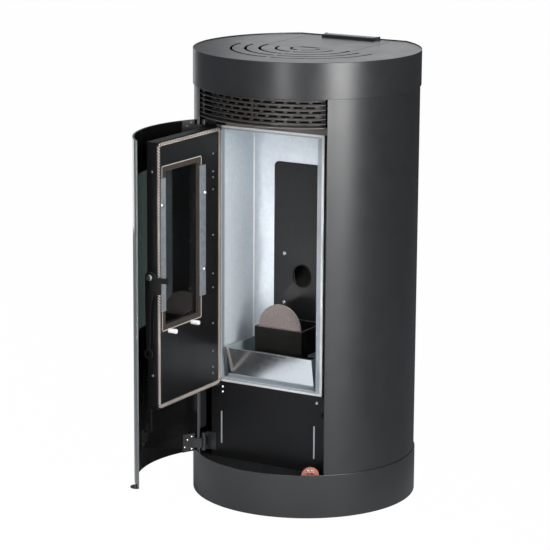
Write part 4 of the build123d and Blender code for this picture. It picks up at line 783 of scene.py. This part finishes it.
# ---------------------------------------------------------------- glass rollers
# Two short white ceramic rollers with a rounded end, pushed on studs of the door below the window,
# where they keep the glass up.
ceramic = coated("white_ceramic", (0.72, 0.72, 0.70), roughness=0.22, grain=0.1, grain_size=0.0015,
                 mottle=0.05)
long_stud = 0.010
for i, (lo, hi) in enumerate([pair for pair in door_seats if pair[1].x - pair[0].x > long_stud]):
    radius = (hi.z - lo.z) / 2
    bpy.ops.object.select_all(action="DESELECT")
    bpy.ops.mesh.primitive_cylinder_add(vertices=28, radius=radius, depth=hi.x - lo.x,
                                        location=(lo + hi) / 2, rotation=(0, pi / 2, 0))
    roller = bpy.context.object
    roller.name = f"glass_roller_{i + 1}"
    bpy.ops.object.transform_apply(location=True, rotation=True, scale=True)
    bpy.ops.object.mode_set(mode="EDIT")
    bpy.ops.mesh.select_mode(type="FACE")
    bpy.ops.mesh.select_all(action="DESELECT")
    bpy.ops.object.mode_set(mode="OBJECT")
    for face in roller.data.polygons:
        face.select = face.normal.x > 0.9  # the free end
    bpy.ops.object.mode_set(mode="EDIT")
    bpy.ops.mesh.bevel(offset=0.0022, segments=4, affect="EDGES")
    bpy.ops.object.mode_set(mode="OBJECT")
    bpy.ops.object.shade_smooth_by_angle(angle=radians(40))
    roller.data.materials.append(ceramic)
    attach(roller, "inner_door")
    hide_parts("door_screws")

# ---------------------------------------------------------------- latch and inner hinges
# Black hooked lever with a ring for the tool on a steel pivot, and small black pintle brackets. The
# pivot's plain steel also finishes the lid's pin, the feed screw, the fan wheels and the igniter.
soften("latch_lever", "latch", black_paint, rounding=0.0005)
finish_nodes(black_paint, "inner_hinge_brackets")
plain_steel = coated("plain_steel", (0.40, 0.40, 0.41), roughness=0.34, grain=0.15,
                     grain_size=0.0010, mottle=0.10, metallic=1.0)
finish_nodes(plain_steel, "latch_pivot", "lid_hinge_pin", "room_fan_impeller", "auger_screw",
             "smoke_impeller", "igniter")

# ---------------------------------------------------------------- curved outer door
# One sheet of toughened glass, 4 mm thick, bent to the round of the casing and enamelled black
# but for a grey-green clear window; its ground edges are lighter.
door_axis = Vector((0.04362, -0.31626, 0))  # centre of the bend
door_lo, door_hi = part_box("outer_door")
bend_radius, glass_thick = 0.250, 0.004
edge_turn = radians(149.5)  # of the edge beside the hinges, seen from the centre of the bend
swept_degrees, step = 76.8, 0.8
window_bottom, window_top, window_half = 0.426, 0.771, radians(17.2)
edge_spot = door_axis + bend_radius * Vector((cos(edge_turn), sin(edge_turn), 0))
edge_spot.z = (door_lo.z + door_hi.z) / 2
bpy.ops.object.select_all(action="DESELECT")
bpy.ops.mesh.primitive_plane_add(size=1, rotation=(pi / 2, 0, edge_turn), location=edge_spot)
curved_glass = bpy.context.object
curved_glass.name = "curved_door_glass"
curved_glass.scale = (glass_thick, door_hi.z - door_lo.z, 1)
bpy.ops.object.transform_apply(location=True, rotation=True, scale=True)
bpy.ops.object.mode_set(mode="EDIT")
for level in (window_bottom, window_top):
    bpy.ops.mesh.select_all(action="SELECT")
    bpy.ops.mesh.bisect(plane_co=(0, 0, level), plane_no=(0, 0, 1))
bpy.ops.mesh.select_all(action="SELECT")
bpy.ops.mesh.spin(steps=round(swept_degrees / step), angle=-radians(swept_degrees),
                  center=door_axis, axis=(0, 0, 1))
bpy.ops.mesh.select_all(action="SELECT")
bpy.ops.mesh.remove_doubles(threshold=merge_gap)
bpy.ops.mesh.normals_make_consistent(inside=False)
bpy.ops.object.mode_set(mode="OBJECT")

enamelled = coated("enamelled_glass", (0.004, 0.004, 0.004), roughness=0.09, grain=0.02,
                   grain_size=0.0040, mottle=0.2, gleam=0.4)
tinted = bpy.data.materials.new("tinted_window")
tinted.use_nodes = True
tree = tinted.node_tree
shader = tree.nodes["Principled BSDF"]
shader.inputs["Base Color"].default_value = (0.045, 0.060, 0.057, 1.0)
shader.inputs["Roughness"].default_value = 0.02
shader.inputs["Transmission Weight"].default_value = 1.0
shader.inputs["IOR"].default_value = 1.5
ground = coated("ground_glass_edge", (0.085, 0.095, 0.092), roughness=0.4, grain=0.3,
                grain_size=0.0010, mottle=0.3)
for material in (enamelled, tinted, ground):
    curved_glass.data.materials.append(material)
window_middle = Vector((-0.9914, -0.1305))
for face in curved_glass.data.polygons:
    spoke = face.center - door_axis
    spoke.z = 0
    swept = spoke.to_2d().angle_signed(window_middle)
    if abs(face.normal.dot(spoke.normalized())) < 0.5:  # an edge of the sheet
        face.material_index = 2
    elif abs(swept) < window_half and window_bottom < face.center.z < window_top:
        face.material_index = 1
bpy.ops.object.shade_smooth_by_angle(angle=curve_angle)
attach(curved_glass, "outer_door")
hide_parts("outer_door")

# ---------------------------------------------------------------- outer door hinges and pull tab
# Black leaves screwed inside the glass, brackets on the casing, and the round tab at the
# bottom edge; the lower leaf's screws are painted bright as highlights, the upper one's dull as
# shade.
finish_nodes(powder_coat, "outer_hinge_brackets")
hinge_paint = coated("hinge_paint", (0.022, 0.022, 0.023), roughness=0.38, grain=0.2,
                     grain_size=0.0010, gleam=0.7)
soften("outer_hinge_leaves", "outer_door", hinge_paint, rounding=0.0004)
soften("pull_tab", "outer_door", black_paint, rounding=0.0004)
head_sunk, leaf_head_rise = 0.0008, 0.0018
heads = []
for lo, hi in seats("hinge_leaf_screws"):
    middle = (lo + hi) / 2
    facing = Vector((door_axis.x - middle.x, door_axis.y - middle.y, 0)).normalized()
    heads.append((middle - facing * head_sunk, facing, (hi.z - lo.z) / 2, leaf_head_rise))
# painted light: the same screws are bright steel on the lower leaf as highlights and dull steel on
# the upper one as shade
half_height = 0.5
place_heads("leaf_screw_heads_lit", "hinge_leaf_screws", "outer_door",
            [h for h in heads if h[0].z < half_height], bright_steel)
place_heads("leaf_screw_heads_shaded", "hinge_leaf_screws", "outer_door",
            [h for h in heads if h[0].z > half_height], dull_steel)
bpy.data.objects.remove(pattern_head)

# ---------------------------------------------------------------- feed, fans and electrics
# Bought-in units fixed to the works: painted motors, the green control board, and the mains
# inlet of black plastic with its rocker switch in the rear panel.
matt_black = coated("matt_black_plastic", (0.018, 0.018, 0.019), roughness=0.5, grain=0.4,
                    grain_size=0.0008)
finish_nodes(matt_black, "power_inlet", "switch_rocker")
motor_paint = coated("motor_paint", (0.035, 0.037, 0.042), roughness=0.45, grain=0.3,
                     grain_size=0.0012)
finish_nodes(motor_paint, "auger_gearmotor", "smoke_fan_motor", "room_fan_motor")
board_green = coated("board_green", (0.010, 0.090, 0.035), roughness=0.4, grain=0.3,
                     grain_size=0.0015)
finish_nodes(board_green, "control_board")
